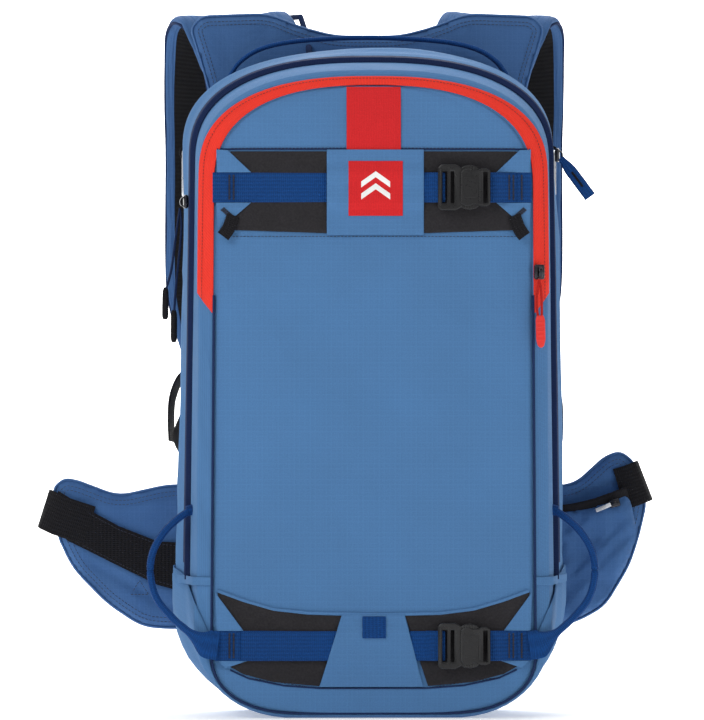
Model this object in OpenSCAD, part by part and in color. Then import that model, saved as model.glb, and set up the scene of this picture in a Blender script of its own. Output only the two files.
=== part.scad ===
// Avalanche airbag backpack of about 24 litres.
// +Z is up, the panel that faces away from the wearer looks along -Y,
// and the origin is the centre of the flat base that the bag stands on.

/* [Bag] */
// Greatest width of the bag body
bag_w = 316; // [260:1:380]
// Height of the bag body on its base
bag_h = 552; // [480:1:640]
// Depth from the front panel to the back panel's inner face
bag_d = 168; // [130:1:210]
// Depth of the front compartment
pocket_d = 46; // [30:1:60]
// Width of the front panel at its lower corners
panel_w = 268; // [220:1:300]
// Thickness of the padded front panel
panel_t = 3; // [2:0.5:5]
// Thickness of the gusset fabric with its foam
skin_t = 2.5; // [1.5:0.5:5]
// Width of the flat part of the base
flat_w = 120; // [80:1:160]
// Thickness of the base wrap that the bag stands on
wrap_t = 1.5; // [1:0.5:3]
// Height of the base wrap's upper edge
wrap_h = 115; // [112:1:150]

/* [Back] */
// Thickness of the back panel
back_t = 6; // [4:1:10]
// Thickness of the back and lumbar pads
pad_t = 14; // [8:1:22]
// Thickness of the plastic frame sheet
sheet_t = 1.5; // [1:0.5:3]
// Width of one aluminium stay
stay_w = 14; // [8:1:20]
// Thickness of one aluminium stay
stay_t = 2.5; // [1.5:0.5:4]

/* [Zips] */
// Width of the red zip band on the front
front_zip_w = 12; // [8:1:18]
// Thickness of every zip tape
tape_t = 1.2; // [0.8:0.1:2.5]
// Width of the main zip band
main_zip_w = 9; // [6:1:14]

/* [Webbing] */
// Width of the compression webbing
web_w = 25; // [20:1:38]
// Thickness of all webbing
web_t = 1.6; // [1:0.1:2.5]
// Height of the upper compression strap
upper_z = 440; // [380:1:470]
// Height of the lower compression strap
lower_z = 60; // [50:1:90]
// Thickness of the black foam insets
inset_t = 1.5; // [1:0.1:3]
// Diameter of the folded webbing in the gear loops
loop_dia = 6; // [4:0.5:9]

/* [Buckles] */
// Height of a compression buckle across its arms
buckle_w = 38; // [32:1:46]
// Depth of a compression buckle
buckle_t = 7; // [5:0.5:10]
// Length of the buckle housing
housing_l = 27; // [20:1:36]
// Length of the ladder frame
ladder_l = 16; // [12:1:20]
// Running gap in the buckles and sliders
gap = 0.3; // [0.2:0.05:0.5]

/* [Harness] */
// Width of a shoulder strap at chest height
strap_w = 66; // [50:1:80]
// Thickness of a shoulder strap
strap_t = 12; // [8:1:16]
// How far the straps stand out behind the back panel
strap_out = 94; // [70:1:120]
// Thickness of the hip wings
wing_t = 12; // [8:1:18]
// Depth of the hip pocket
hip_pocket_t = 12; // [8:1:20]
// Width of the hip belt webbing
belt_w = 38; // [30:1:50]

/* [Airbag system] */
// Diameter of the gas cylinder
cylinder_dia = 56; // [45:1:62]
// Length of the gas cylinder without its neck
cylinder_l = 215; // [160:1:230]
// Diameter of the threaded neck
neck_dia = 18; // [14:1:22]
// Radial running clearance of the neck and of the lever pin
run_fit = 0.05; // [0.02:0.01:0.1]
// Diameter of the trigger cable's housing
cable_dia = 5; // [4:0.5:6]

/* [Hidden] */
$fn = 48;

blue = [0.30, 0.47, 0.68];
navy = [0.07, 0.25, 0.50];
red = [0.88, 0.16, 0.13];
black = [0.10, 0.10, 0.11];
silver = [0.75, 0.76, 0.78];

// Depth planes from the front panel to the wearer's side
y_front = -94;
y_skin = y_front + panel_t;
y_lip = y_skin + 8;
y_divide = y_front + pocket_d;
y_mid = 0;
y_back = y_front + bag_d;
y_pads = y_back + back_t;
y_face = y_pads + pad_t;
y_inset = y_front - inset_t;
y_web = y_inset - web_t;

// Roundness and number of steps of the base and crown corners
base_n = 2.3;
crown_r = 85;
crown_n = 2.5;
base_steps = 8;
crown_steps = 12;

// Outlines as [half width, share of it kept at the top, bottom, top, base radius]
o_panel = [panel_w / 2, 0.98, wrap_t + 3, bag_h - 28, 50];
o_front = [panel_w / 2 + front_zip_w, 0.985, wrap_t, bag_h - 15, 80];
o_divide = [bag_w / 2 - 6, 0.97, wrap_t, bag_h - 7, 100];
o_mid = [bag_w / 2, 0.955, wrap_t, bag_h, 110];
o_back = [bag_w / 2 - 6, 0.95, wrap_t, bag_h - 4, 110];

// Base and crown corners of the right half of an outline, drawn inwards
function base_corner(o, t) =
    let(w = o[0] - t, low = o[2] + t, f = flat_w / 2)
    [for (k = [0 : base_steps]) let(a = 90 * k / base_steps)
        [f + (w - f) * pow(sin(a), 2 / base_n), low + o[4] * (1 - pow(cos(a), 2 / base_n))]];
function crown(o, t, from = 0) =
    let(top = (o[0] - t) * o[1], high = o[3] - t)
    [for (k = [from : crown_steps]) let(a = 90 * k / crown_steps)
        [top * pow(cos(a), 2 / crown_n), high + crown_r * (pow(sin(a), 2 / crown_n) - 1)]];
function half(o, t) = concat(base_corner(o, t), crown(o, t));

// Half width of an outline at one height on its straight side
function side_x(o, t, z) = lookup(z, [for (p = half(o, t)) [p[1], p[0]]]);

// The half outline above or below a height on its straight side
function above(o, t, z) = concat([[side_x(o, t, z), z]], crown(o, t));
function below(o, t, z) = concat(base_corner(o, t), [[side_x(o, t, z), z]]);

// An outline part of the way from one to another
function between(a, b, f) = a + f * (b - a);

// Depth planes of the bag with their outlines
lip_planes = [[y_skin, o_panel], [y_lip, o_front]];
main_planes = [[y_divide, o_divide], [y_mid, o_mid], [y_back, o_back]];
// Small distance at which sewn pieces lie on the fabric
seat = 0.2;

// Zip places
front_zip_z = 355;
front_zip_x = 137;
y_slider = y_skin - seat - tape_t - gap;
y_zip = y_divide + 3;
zip_share = [y_zip - y_divide, y_zip - y_divide + main_zip_w] / (y_mid - y_divide);
zip_planes = [[y_zip, between(o_divide, o_mid, zip_share[0])],
    [y_zip + main_zip_w, between(o_divide, o_mid, zip_share[1])]];
// How far the sides stand from the ones that the routes were laid on
side_out = bag_w / 2 - 158;
y_burst = y_back - 46;
burst_w = 8;
burst_from = 5;
burst_planes = [for (y = [y_burst, y_burst + burst_w]) [y, between(o_mid, o_back, y / y_back)]];
pull_z_left = 429;
pull_z_right = 468;
zip_lift = 0.6;
function slider_x(z) = side_x(zip_planes[0][1], -zip_lift - tape_t - gap, z) + 1;

// Places of the patches and buckles on the front
patch_w = 79;
y_buckle = y_web - 3;
buckle_x = 53;
bar_x = buckle_x + ladder_l + gap + housing_l - 3;

// Routes and outlines
stay_x = 26;
y_handle = y_back - 24;
// Front of the folded airbag
airbag_front = -20;
// Share by which the crown is wider than the one the handle was laid on
crown_scale = bag_w / 316;
// Points of the grab handle at the width they were laid on
grab_points = [[131.5, y_handle, 516], [124, y_handle, 526], [117, y_handle, 537], [108, y_handle, 549],
    [92, y_handle, 559], [68, y_handle, 565], [34, y_handle, 568], [0, y_handle, 569]];
grab_route = [for (p = grab_points) [p[0] * crown_scale, p[1], p[2]]];
// Points of the right gear loop; those beside the bag move with its side
gear_points = [[153.5, -60, 172], [163, -62, 164], [174, -64, 153], [183, -66, 137], [185, -68, 118],
    [180, -72, 99], [168, -78, 84], [155, -86, 74], [140.3, -96.3, 65]];
gear_route = [for (p = gear_points) [p[0] + (p[0] > 150 ? side_out : 0), p[1], p[2]]];
y_yoke = y_pads + 8;
y_strap = y_back + strap_out + strap_t;
strap_route = [[92, y_yoke + strap_t / 2 + 0.4, 500], [96, y_yoke + strap_t / 2 + 1, 540],
    [99, y_yoke + strap_t / 2 + 6.5, 554], [105, y_back + 36, 574],
    [116, y_back + 54, 584], [128, y_back + 80, 576], [134, y_back + 96, 550], [137, y_strap, 512], [137, y_strap, 470],
    [137, y_strap, 370], [136, y_strap - 4, 332], [134, y_strap - 10, 305]];
strap_widths = [14, 18, 22, 26, 28, 18, 8, 2, 0, 0, -8, -20];
ladder_z = 280;
adjuster_route = [[140, y_strap - 14, ladder_z - 1], [141, y_strap - 17, 268], [148, y_strap - 28, 250],
    [155, y_strap - 56, 232], [151, y_strap - 82, 219], [142, y_pads + 3.4, 211], [140, y_pads + 1.6, 201]];
wing_left_outline = [[-114, 186], [-167, 190], [-212, 180], [-246, 193], [-257, 195], [-266, 188],
    [-264, 150], [-250, 120], [-221, 90], [-191, 70], [-160, 68], [-114, 76]];
wing_right_outline = [[114, 186], [156, 187], [178, 191], [202, 213], [215, 218], [226, 210],
    [238, 178], [231, 147], [223, 122], [202, 87], [180, 75], [160, 69], [114, 76]];
y_wing = y_pads + gap;
y_belt = y_wing - seat - web_t;

// Places of the airbag system inside the bag
cylinder_x = -70;
cylinder_y = y_back - 54;
cylinder_z = 44;
head_z = cylinder_z + cylinder_l + 3;
head_h = 68;
lever_x = cylinder_x + 34;
lever_z = head_z + 40;
pin_r = 2.5;
cable_x = -50;
cable_y = y_back - 8;
sleeve_z = 396;
sleeve_h = 50;
stem_r = 6;
sternum_z = 430;
hook_x = bag_w / 2 - 2;
hook_y = y_back - 32;
hook_z = 472;
hook_w = 24;
hook_l = 36;
hook_r = 2;
hip_zip_tilt = 16;

function mirrored(h) = [for (k = [len(h) - 1 : -1 : 0]) if (h[k][0] > 0) [-h[k][0], h[k][1]]];
function over(h) = concat(h, mirrored(h));
function under(h) = concat(mirrored(h), h);
function at_y(h, y) = [for (p = h) [p[0], y, p[1]]];

// A wall between outer and inner curves, one pair for each depth plane
module wall(outer, inner, closed) {
    n = len(outer[0]);
    m = len(outer);
    last = closed ? n - 1 : n - 2;
    points = concat([for (r = outer) each r], [for (r = inner) each r]);
    faces = concat(
        [for (r = [0 : m - 2], i = [0 : last]) let(j = (i + 1) % n, a = r * n, b = a + n)
            each [[a + i, a + j, b + j], [a + i, b + j, b + i]]],
        [for (r = [0 : m - 2], i = [0 : last]) let(j = (i + 1) % n, a = (m + r) * n, b = a + n)
            each [[a + i, b + j, a + j], [a + i, b + i, b + j]]],
        [for (i = [0 : last]) let(j = (i + 1) % n, b = m * n)
            each [[i, b + i, b + j], [i, b + j, j]]],
        [for (i = [0 : last]) let(j = (i + 1) % n, a = (m - 1) * n, b = (2 * m - 1) * n)
            each [[a + i, b + j, b + i], [a + i, a + j, b + j]]],
        closed ? [] : [for (r = [0 : m - 2]) let(a = r * n, b = a + n, c = (m + r) * n, d = c + n)
            each [[a, b, d], [a, d, c],
                [a + n - 1, c + n - 1, d + n - 1], [a + n - 1, d + n - 1, b + n - 1]]]);
    polyhedron(points, faces);
}

// A closed band of fabric over outlines at their depth planes
module band(planes, t) {
    wall([for (p = planes) at_y(over(half(p[1], 0)), p[0])],
        [for (p = planes) at_y(over(half(p[1], t)), p[0])], true);
}

// A flat plate of an XZ outline that grows forwards from its back plane
module plate(back, t) {
    translate([0, back, 0]) rotate([90, 0, 0]) linear_extrude(t) children();
}

// A box given by its low and high corners
module box(low, high) {
    translate(low) cube(high - low);
}

module both_sides() {
    children();
    mirror([1, 0, 0]) children();
}

// Tube or ribbon swept along a route; the section is a list of [across, out]
function unit(v) = v / norm(v);
function heading(p, i) = unit(p[min(i + 1, len(p) - 1)] - p[max(i - 1, 0)]);
function ring(c, d, out, section) =
    let(a = unit(cross(d, out)), b = cross(a, d))
    [for (s = section) c + s[0] * a + s[1] * b];
module sweep(path, out, sections) {
    n = len(sections[0]);
    m = len(path);
    points = [for (i = [0 : m - 1]) each ring(path[i], heading(path, i), out[i], sections[i])];
    faces = concat(
        [[for (i = [n - 1 : -1 : 0]) i]],
        [for (r = [0 : m - 2], i = [0 : n - 1]) let(j = (i + 1) % n, a = r * n, b = a + n)
            each [[a + i, b + j, b + i], [a + i, a + j, b + j]]],
        [[for (i = [0 : n - 1]) (m - 1) * n + i]]);
    polyhedron(points, faces);
}
function round_section(r, sides) = [for (k = [0 : sides - 1]) r * [cos(360 * k / sides), sin(360 * k / sides)]];
function flat_section(w, t) = [[-w / 2, -t / 2], [w / 2, -t / 2], [w / 2, t / 2], [-w / 2, t / 2]];
function pad_section(w, t) = let(c = t / 3)
    [[-w / 2, c - t / 2], [c - w / 2, -t / 2], [w / 2 - c, -t / 2], [w / 2, c - t / 2],
        [w / 2, t / 2 - c], [w / 2 - c, t / 2], [c - w / 2, t / 2], [-w / 2, t / 2 - c]];
function across_x(path) = [for (i = [0 : len(path) - 1]) cross([1, 0, 0], heading(path, i))];
module tube(path, out, r, sides) {
    sweep(path, [for (p = path) out], [for (p = path) round_section(r, sides)]);
}
module ribbon(path, out, w, t) {
    sweep(path, [for (p = path) out], [for (p = path) flat_section(w, t)]);
}

// ---- Bag body ----

module front_panel() {
    color(blue) plate(y_skin, panel_t) polygon(over(half(o_panel, 0)));
}

module front_gusset() {
    color(blue) band(concat(lip_planes, [main_planes[0]]), skin_t);
}

module main_gusset() {
    color(blue) difference() {
        band(main_planes, skin_t);
        translate([cable_x, cable_y, bag_h - 40]) cylinder(h = 80, d = cable_dia + 3);
    }
}

module base_wrap() {
    planes = concat(lip_planes, main_planes);
    color(blue) wall([for (p = planes) at_y(under(below(p[1], -wrap_t, wrap_h)), p[0])],
        [for (p = planes) at_y(under(below(p[1], -seat, wrap_h)), p[0])], false);
}

module front_divider() {
    color(navy) plate(y_divide + 3, 1.5) polygon(over(half(o_divide, skin_t + 0.5)));
}

module frame_sheet() {
    color(black) plate(y_back, sheet_t) polygon(over(half(o_back, skin_t + 2)));
}

module back_stays() {
    color(silver) both_sides() box([stay_x, y_back - sheet_t - stay_t, 40],
        [stay_x + stay_w, y_back - sheet_t, 500]);
}

module back_panel() {
    color(black) plate(y_pads, back_t) polygon(over(half(o_back, 0)));
}

module back_pads() {
    color(black) {
        both_sides() for (z = [230, 350]) box([12, y_pads, z], [92, y_face, z + 105]);
        box([-105, y_pads, 70], [105, y_face, 200]);
    }
}

// ---- Zips ----

module arch_on(planes, t, low, lift = seat) {
    wall([for (p = planes) at_y(over(above(p[1], -lift - t, low)), p[0])],
        [for (p = planes) at_y(over(above(p[1], -lift, low)), p[0])], false);
}

module front_zip_tape() {
    color(red) arch_on(lip_planes, tape_t, front_zip_z);
}

module front_zip_slider() {
    color(red) translate([front_zip_x, y_slider, front_zip_z + 16]) {
        box([-5, -3, -6], [5, 0, 7]);
        box([-1, -5.5, -2], [1, -3, 5]);
    }
}

module front_zip_pull() {
    y = y_slider - 5;
    z = front_zip_z + 9.5;
    color(red) {
        tube([[front_zip_x, y, z], [front_zip_x + 3, y, z - 17]], [0, 1, 0], 1.8, 8);
        ribbon([[front_zip_x + 3, y, z - 15], [front_zip_x + 5, y, z - 34], [front_zip_x + 11, y, z - 48]],
            [0, 1, 0], 9, 3.4);
    }
}

module main_zip_tape() {
    color(navy) arch_on(zip_planes, tape_t, wrap_h + 3, zip_lift);
}

module airbag_zip_tape() {
    color(black) wall([for (p = burst_planes) at_y(over(crown(p[1], -seat - tape_t, burst_from)), p[0])],
        [for (p = burst_planes) at_y(over(crown(p[1], -seat, burst_from)), p[0])], false);
}

// A main slider stands on the tape at one height, on the right side
module main_slider(z) {
    x = slider_x(z);
    color(silver) {
        box([x, y_zip, z - 6], [x + 3, y_zip + main_zip_w, z + 6]);
        box([x + 3, y_zip + 3.5, z - 3], [x + 5, y_zip + 5.5, z + 3]);
    }
}

module main_slider_left() {
    mirror([1, 0, 0]) main_slider(pull_z_left);
}

module main_slider_right() {
    main_slider(pull_z_right);
}

module main_pull_left() {
    x = -slider_x(pull_z_left) - 5.2;
    color(navy) for (s = [0, 1]) {
        y = y_zip + 1 + 7 * s;
        tube([[x, y, pull_z_left - 5], [x - 6 + 2 * s, y, pull_z_left - 40],
            [x - 12 + 10 * s, y, pull_z_left - 80 - 24 * s]], [0, 1, 0], 1.6, 8);
        ribbon([[x - 12 + 10 * s, y, pull_z_left - 76 - 24 * s],
            [x - 13 + 12 * s, y, pull_z_left - 100 - 24 * s]],
            [0, 1, 0], 6, 4);
    }
}

module main_pull_right() {
    y = y_zip + main_zip_w / 2;
    x = slider_x(pull_z_right) + 5.2;
    color(navy) {
        tube([[x, y, pull_z_right - 5], [x + 6, y, pull_z_right - 13]], [0, 1, 0], 1.6, 8);
        ribbon([[x + 4, y, pull_z_right - 11], [x + 28, y, pull_z_right - 38]], [0, 1, 0], 9, 3);
    }
}

// ---- Front panel details ----

module red_stripe() {
    color(red) box([-22, y_front - 0.8, upper_z + 31], [22, y_front, bag_h - 32]);
}

module upper_insets() {
    color(black) both_sides() plate(y_front, inset_t)
        polygon([[patch_w / 2, upper_z - 37], [129, upper_z - 37], [129, upper_z + 28],
            [118, upper_z + 31], [patch_w / 2, upper_z + 31]]);
}

module lower_insets() {
    color(black) both_sides() plate(y_front, inset_t)
        polygon([[45, lower_z - 34], [104, lower_z - 28], [126, lower_z - 19],
            [130, lower_z + 44], [82, lower_z + 29], [26, lower_z + 26]]);
}

// A patch sewn over the strap, with a channel behind it for the webbing
module centre_patch() {
    color(blue) difference() {
        box([-patch_w / 2, y_web - 1.8, upper_z - 39], [patch_w / 2, y_front, upper_z + 31]);
        box([-patch_w, y_web - gap, upper_z - web_w / 2 - 2], [patch_w, y_front + 1, upper_z + web_w / 2 + 2]);
    }
}

module lower_patch() {
    color(blue) difference() {
        plate(y_front, inset_t + web_t + 1.8)
            polygon([[-44.5, lower_z - 34], [44.5, lower_z - 34], [25.5, lower_z + 26], [-25.5, lower_z + 26]]);
        box([-80, y_web - gap, lower_z - web_w / 2 - 2], [80, y_front + 1, lower_z + web_w / 2 + 2]);
    }
}

module lower_tab() {
    color(navy) box([-11, y_web - 1.8 - web_t, lower_z + 3], [12, y_web - 1.8, lower_z + 26]);
}

module corner_tabs() {
    z = upper_z;
    w = web_w / 2 + 0.5;
    color(blue) both_sides() {
        plate(y_inset, 1) polygon([[100, z + w], [129, z + w], [129, z + 30], [119, z + 30]]);
        plate(y_inset, 1) polygon([[100, z - w], [129, z - 36], [129, z - w]]);
        plate(y_inset, 1) polygon([[112, lower_z + w], [128, lower_z + w], [130, lower_z + 42]]);
        plate(y_inset, 1) polygon([[106, lower_z - w], [126, lower_z - 18], [127, lower_z - w]]);
    }
}

module front_web(x0, x1, z) {
    color(navy) box([x0, y_web, z - web_w / 2], [x1, y_inset, z + web_w / 2]);
}

module upper_strap_left() {
    front_web(-140, buckle_x + 4, upper_z);
}

module lower_strap_left() {
    front_web(-138, buckle_x + 4, lower_z);
}

// The short strap from the housing's bar back to the side seam
module strap_end(z, x) {
    color(navy) translate([0, 0, z - web_w / 2]) linear_extrude(web_w)
        polygon([[bar_x + 3 + gap, y_buckle - buckle_t / 2 - web_t / 2],
            [bar_x + 3 + gap, y_buckle - buckle_t / 2 + web_t / 2],
            [115, y_inset - 1.2], [x, y_inset - 1.2], [x, y_web - 1.2], [115, y_web - 1.2]]);
}

module upper_strap_right() {
    strap_end(upper_z, panel_w / 2 - 3);
}

module lower_strap_right() {
    strap_end(lower_z, panel_w / 2 + 4);
}

// ---- Side release buckles ----

module buckle_male(z) {
    h = buckle_w / 2;
    color(black) translate([buckle_x, y_buckle - buckle_t, z]) {
        difference() {
            box([0, 0, -h], [ladder_l, buckle_t - 0.5, h]);
            box([3.5, -1, -web_w / 2 - 1], [7.5, buckle_t + 1, web_w / 2 + 1]);
            box([10.5, -1, -web_w / 2 - 1], [ladder_l - 2.5, buckle_t + 1, web_w / 2 + 1]);
        }
        for (s = [-1, 1]) translate([0, 0, s * (h - 1.5)])
            box([ladder_l - 1, 1.5, -1.5], [ladder_l + housing_l - 6, buckle_t - 2, 1.5]);
        box([ladder_l - 1, 2, -6], [ladder_l + 9, buckle_t - 2.5, 6]);
    }
}

module buckle_housing(z) {
    h = buckle_w / 2 - 3 - gap;
    color(black) translate([buckle_x + ladder_l + gap, y_buckle - buckle_t, z]) difference() {
        box([0, 0, -h], [housing_l, buckle_t - 0.5, h]);
        box([-1, 2 - gap, -6 - gap], [10, buckle_t - 2.5 + gap, 6 + gap]);
        box([housing_l - 6.5, -1, -web_w / 2 - 0.6], [housing_l - 3, buckle_t + 1, web_w / 2 + 0.6]);
    }
}

module upper_buckle_male() {
    buckle_male(upper_z);
}

module upper_buckle_housing() {
    buckle_housing(upper_z);
}

module lower_buckle_male() {
    buckle_male(lower_z);
}

module lower_buckle_housing() {
    buckle_housing(lower_z);
}

// ---- Loops and handle ----

module gear_loops() {
    color(navy) both_sides() tube(gear_route, [0.3, 1, 0.2], loop_dia / 2, 8);
}

module grab_handle() {
    n = len(grab_route);
    route = concat(grab_route, [for (k = [n - 2 : -1 : 0]) [-grab_route[k][0], y_handle, grab_route[k][2]]]);
    color(navy) sweep(route, [for (p = route) [0, 1, 0]], [for (p = route) flat_section(web_t + 1, web_w - 5)]);
}

// ---- Harness ----

module yoke() {
    color(blue) difference() {
        plate(y_yoke, y_yoke - y_pads) polygon([[-70, 470], [70, 470], [128, 500], [138, 540],
            [150, 578], [140, 588],
            [84, 590], [58, 579], [28, 571], [-28, 571], [-58, 579], [-84, 590], [-140, 588], [-150, 578],
            [-138, 540], [-128, 500]]);
        translate([cable_x, y_pads - 1, 562]) rotate([-90, 0, 0]) cylinder(h = 20, d = cable_dia + 1);
    }
}

module shoulder_strap() {
    color(blue) sweep(strap_route, across_x(strap_route),
        [for (k = strap_widths) pad_section(strap_w + k, strap_t)]);
}

module shoulder_strap_left() {
    mirror([1, 0, 0]) shoulder_strap();
}

module shoulder_strap_right() {
    shoulder_strap();
}

module side_hook() {
    color(silver) translate([hook_x, hook_y, hook_z]) {
        for (z = [0, -hook_l]) translate([0, -hook_w / 2, z])
            rotate([-90, 0, 0]) cylinder(h = hook_w, r = hook_r);
        for (y = [-hook_w / 2, hook_w / 2]) translate([0, y, -hook_l]) {
            cylinder(h = hook_l, r = hook_r);
            sphere(hook_r);
            translate([0, 0, hook_l]) sphere(hook_r);
        }
    }
}

module side_hook_left() {
    mirror([1, 0, 0]) side_hook();
}

module side_hook_right() {
    side_hook();
}

module harness_webbing() {
    color(black) both_sides() {
        sweep(adjuster_route, across_x(adjuster_route), [for (p = adjuster_route) flat_section(20, web_t)]);
        difference() {
            box([hook_x - 8, hook_y - 4, hook_z - 5], [hook_x + 4, hook_y + 4, hook_z + 5]);
            translate([hook_x, hook_y - 9, hook_z]) rotate([-90, 0, 0]) cylinder(h = 18, r = hook_r + run_fit);
        }
    }
}

module ladderlocks() {
    color(black) both_sides() translate([137, y_strap - 16, ladder_z]) difference() {
        box([-18, 0, 0], [18, 5, 22]);
        for (z = [5, 14]) box([-13, -1, z], [13, 6, z + 4]);
    }
}

module sternum_webbing() {
    edge = 137 - strap_w / 2 - seat;
    y = y_strap - strap_t / 2 + 3;
    color(black) both_sides() box([14, y, sternum_z - 10], [edge, y + web_t, sternum_z + 10]);
}

module sternum_male() {
    color(black) translate([0, y_strap - strap_t / 2 + 3 + web_t + gap, sternum_z]) {
        difference() {
            box([-26, 0, -13], [-6, 6, 13]);
            for (x = [-23, -14]) box([x, -1, -10.5], [x + 4, 7, 10.5]);
        }
        for (z = [-9, 6]) box([-7, 1.5, z], [10, 4.5, z + 3]);
    }
}

module sternum_housing() {
    color(black) translate([0, y_strap - strap_t / 2 + 3 + web_t + gap, sternum_z]) difference() {
        box([-6 + gap, 0, -13], [26, 6, 13]);
        box([-7, 1.5 - gap, -9 - gap], [12, 4.5 + gap, 9 + gap]);
        box([18, -1, -10.5], [22, 7, 10.5]);
    }
}

// ---- Hip belt ----

module wing_left() translate([-side_out, 0, 0]) {
    color(blue) plate(y_wing + wing_t, wing_t) polygon(wing_left_outline);
}

module wing_right() translate([side_out, 0, 0]) {
    color(blue) plate(y_wing + wing_t, wing_t) polygon(wing_right_outline);
}

module hip_pocket() translate([side_out, 0, 0]) {
    color(blue) plate(y_belt - seat, hip_pocket_t)
        polygon([[158, 166], [188, 170], [222, 184], [229, 150], [221, 124], [200, 89], [180, 77], [158, 72]]);
}

module hip_pocket_slider() translate([side_out, 0, 0]) {
    color(silver) translate([210, y_belt - seat - hip_pocket_t - gap, 174]) rotate([0, -hip_zip_tilt, 0]) {
        box([-5, -3, -3.5], [5, 0, 3.5]);
        box([-16, -4.5, -1.5], [-3, -3, 1.5]);
    }
}

module belt_webbing_left() translate([-side_out, 0, 0]) {
    back = y_wing + wing_t + seat + web_t;
    color(black) {
        plate(y_belt + web_t, web_t) polygon([[-156, 141], [-178, 142], [-211, 155], [-235, 168], [-263, 185],
            [-268, 191], [-280, 159], [-262, 152], [-255, 143], [-205, 118], [-178, 105], [-156, 99]]);
        plate(back, back - y_belt) polygon([[-280, 159], [-268, 191], [-266.6, 190.4], [-278.6, 158.4]]);
        plate(back, web_t) polygon([[-280, 159], [-268, 191], [-234, 179], [-234, 141]]);
    }
}

module belt_webbing_right() translate([side_out, 0, 0]) {
    back = y_wing + wing_t + seat + web_t;
    color(black) {
        plate(y_belt + web_t, web_t) polygon([[206, 204], [229, 211], [243, 178], [222, 168]]);
        plate(back, back - y_belt) polygon([[229.6, 211], [243, 178], [241.6, 177.6], [228.2, 210.6]]);
        plate(back, web_t) polygon([[229.6, 211], [243, 178], [200, 160], [200, 198]]);
    }
}

module belt_male() translate([side_out, 0, 0]) {
    y = y_wing + wing_t + seat + web_t + seat;
    h = belt_w / 2 + 4;
    color(black) translate([202, y, 178]) {
        difference() {
            box([0, 0, -h], [22, 8, h]);
            for (x = [4, 13]) box([x, -1, -belt_w / 2], [x + 5, 9, belt_w / 2]);
        }
        for (z = [-h + 3, h - 9]) box([-26, 2, z], [1, 6, z + 6]);
    }
}

module belt_housing() translate([-side_out, 0, 0]) {
    y = y_wing + wing_t + seat + web_t + seat;
    h = belt_w / 2 + 4;
    color(black) translate([-262, y, 162]) difference() {
        box([0, 0, -h], [42, 8, h]);
        box([13, 2 - gap, -h + 3 - gap], [43, 6 + gap, h - 3 + gap]);
        box([4, -1, -belt_w / 2], [9, 9, belt_w / 2]);
    }
}

// ---- Airbag system ----

module airbag() {
    color(red) plate(y_handle, y_handle - airbag_front) translate([0, 476]) hull() both_sides()
        for (z = [-8, 8]) translate([82, z]) circle(28);
}

module gas_cylinder() {
    r = cylinder_dia / 2;
    color(silver) translate([cylinder_x, cylinder_y, cylinder_z]) rotate_extrude($fn = 96)
        polygon([[0, 0], [r - 6, 0], [r, 6], [r, cylinder_l - 16], [r - 8, cylinder_l - 4],
            [neck_dia / 2 + 3, cylinder_l],
            [neck_dia / 2, cylinder_l], [neck_dia / 2, cylinder_l + 20], [0, cylinder_l + 20]]);
}

module inflation_head() {
    color(black) translate([cylinder_x, cylinder_y, head_z]) {
        difference() {
            union() {
                box([-26, -22, 0], [26, 22, head_h]);
                box([-18, 22, 36], [18, y_back - sheet_t - cylinder_y, 58]);
                translate([0, 0, head_h]) cylinder(h = 440 - head_z - head_h - seat, r = 10);
                for (y = [-12, 6.5]) box([26, y, 34], [40, y + 5.5, 46]);
            }
            translate([0, 0, -1]) cylinder(h = 22, r = neck_dia / 2 + run_fit);
        }
        translate([34, -12, 40]) rotate([-90, 0, 0]) cylinder(h = 24, r = pin_r);
    }
    color(silver) translate([cylinder_x, cylinder_y - 22, head_z + 30])
        rotate([90, 0, 0]) cylinder(h = 7, r = 13);
}

module firing_lever() {
    color(red) translate([lever_x, cylinder_y, lever_z]) difference() {
        box([-4, -6, -4], [26, 6, 4]);
        translate([0, -9, 0]) rotate([-90, 0, 0]) cylinder(h = 18, r = pin_r + run_fit);
    }
}

module trigger_sleeve() {
    y = y_strap + strap_t / 2 + seat;
    color(black) difference() {
        box([-150, y, sleeve_z], [-124, y + 14, sleeve_z + sleeve_h]);
        translate([-137, y + 7, sleeve_z - 1]) cylinder(h = sleeve_h - 7, r = stem_r);
    }
}

module trigger_handle() {
    y = y_strap + strap_t / 2 + seat;
    color(red) {
        box([-161, y + 1, sleeve_z - 24], [-113, y + 13, sleeve_z - gap]);
        translate([-137, y + 7, sleeve_z - 2]) cylinder(h = 38, r = stem_r - run_fit);
    }
}

module trigger_cable() {
    y = y_strap + strap_t / 2 + seat + 7;
    color(black) tube([[lever_x + 30.5, cylinder_y, lever_z - 6], [lever_x + 30.5, cylinder_y, lever_z + 30],
        [-12, y_back - 44, 370], [-26, y_back - 24, 410], [-44, cable_y - 2, 440], [cable_x, cable_y, 470], [cable_x, cable_y, 544],
        [cable_x, cable_y + 3, 556], [cable_x, cable_y + 10, 562], [cable_x, y_yoke + 4, 562], [-50, y_back + 28, 569],
        [-56, y_back + 46, 589], [-68, y_back + 75, 589], [-82, y_back + 90, 572], [-92, y_back + 99, 547], [-98, y_strap, 512],
        [-100, y_strap, 482], [-100, y_strap + 4, 470], [-104, y - 3, 461], [-114, y, 457], [-130, y, 456],
        [-136, y, 453], [-137, y, sleeve_z + sleeve_h + 0.8]], [0.7, -0.45, 0.55], cable_dia / 2, 8);
}

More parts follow.
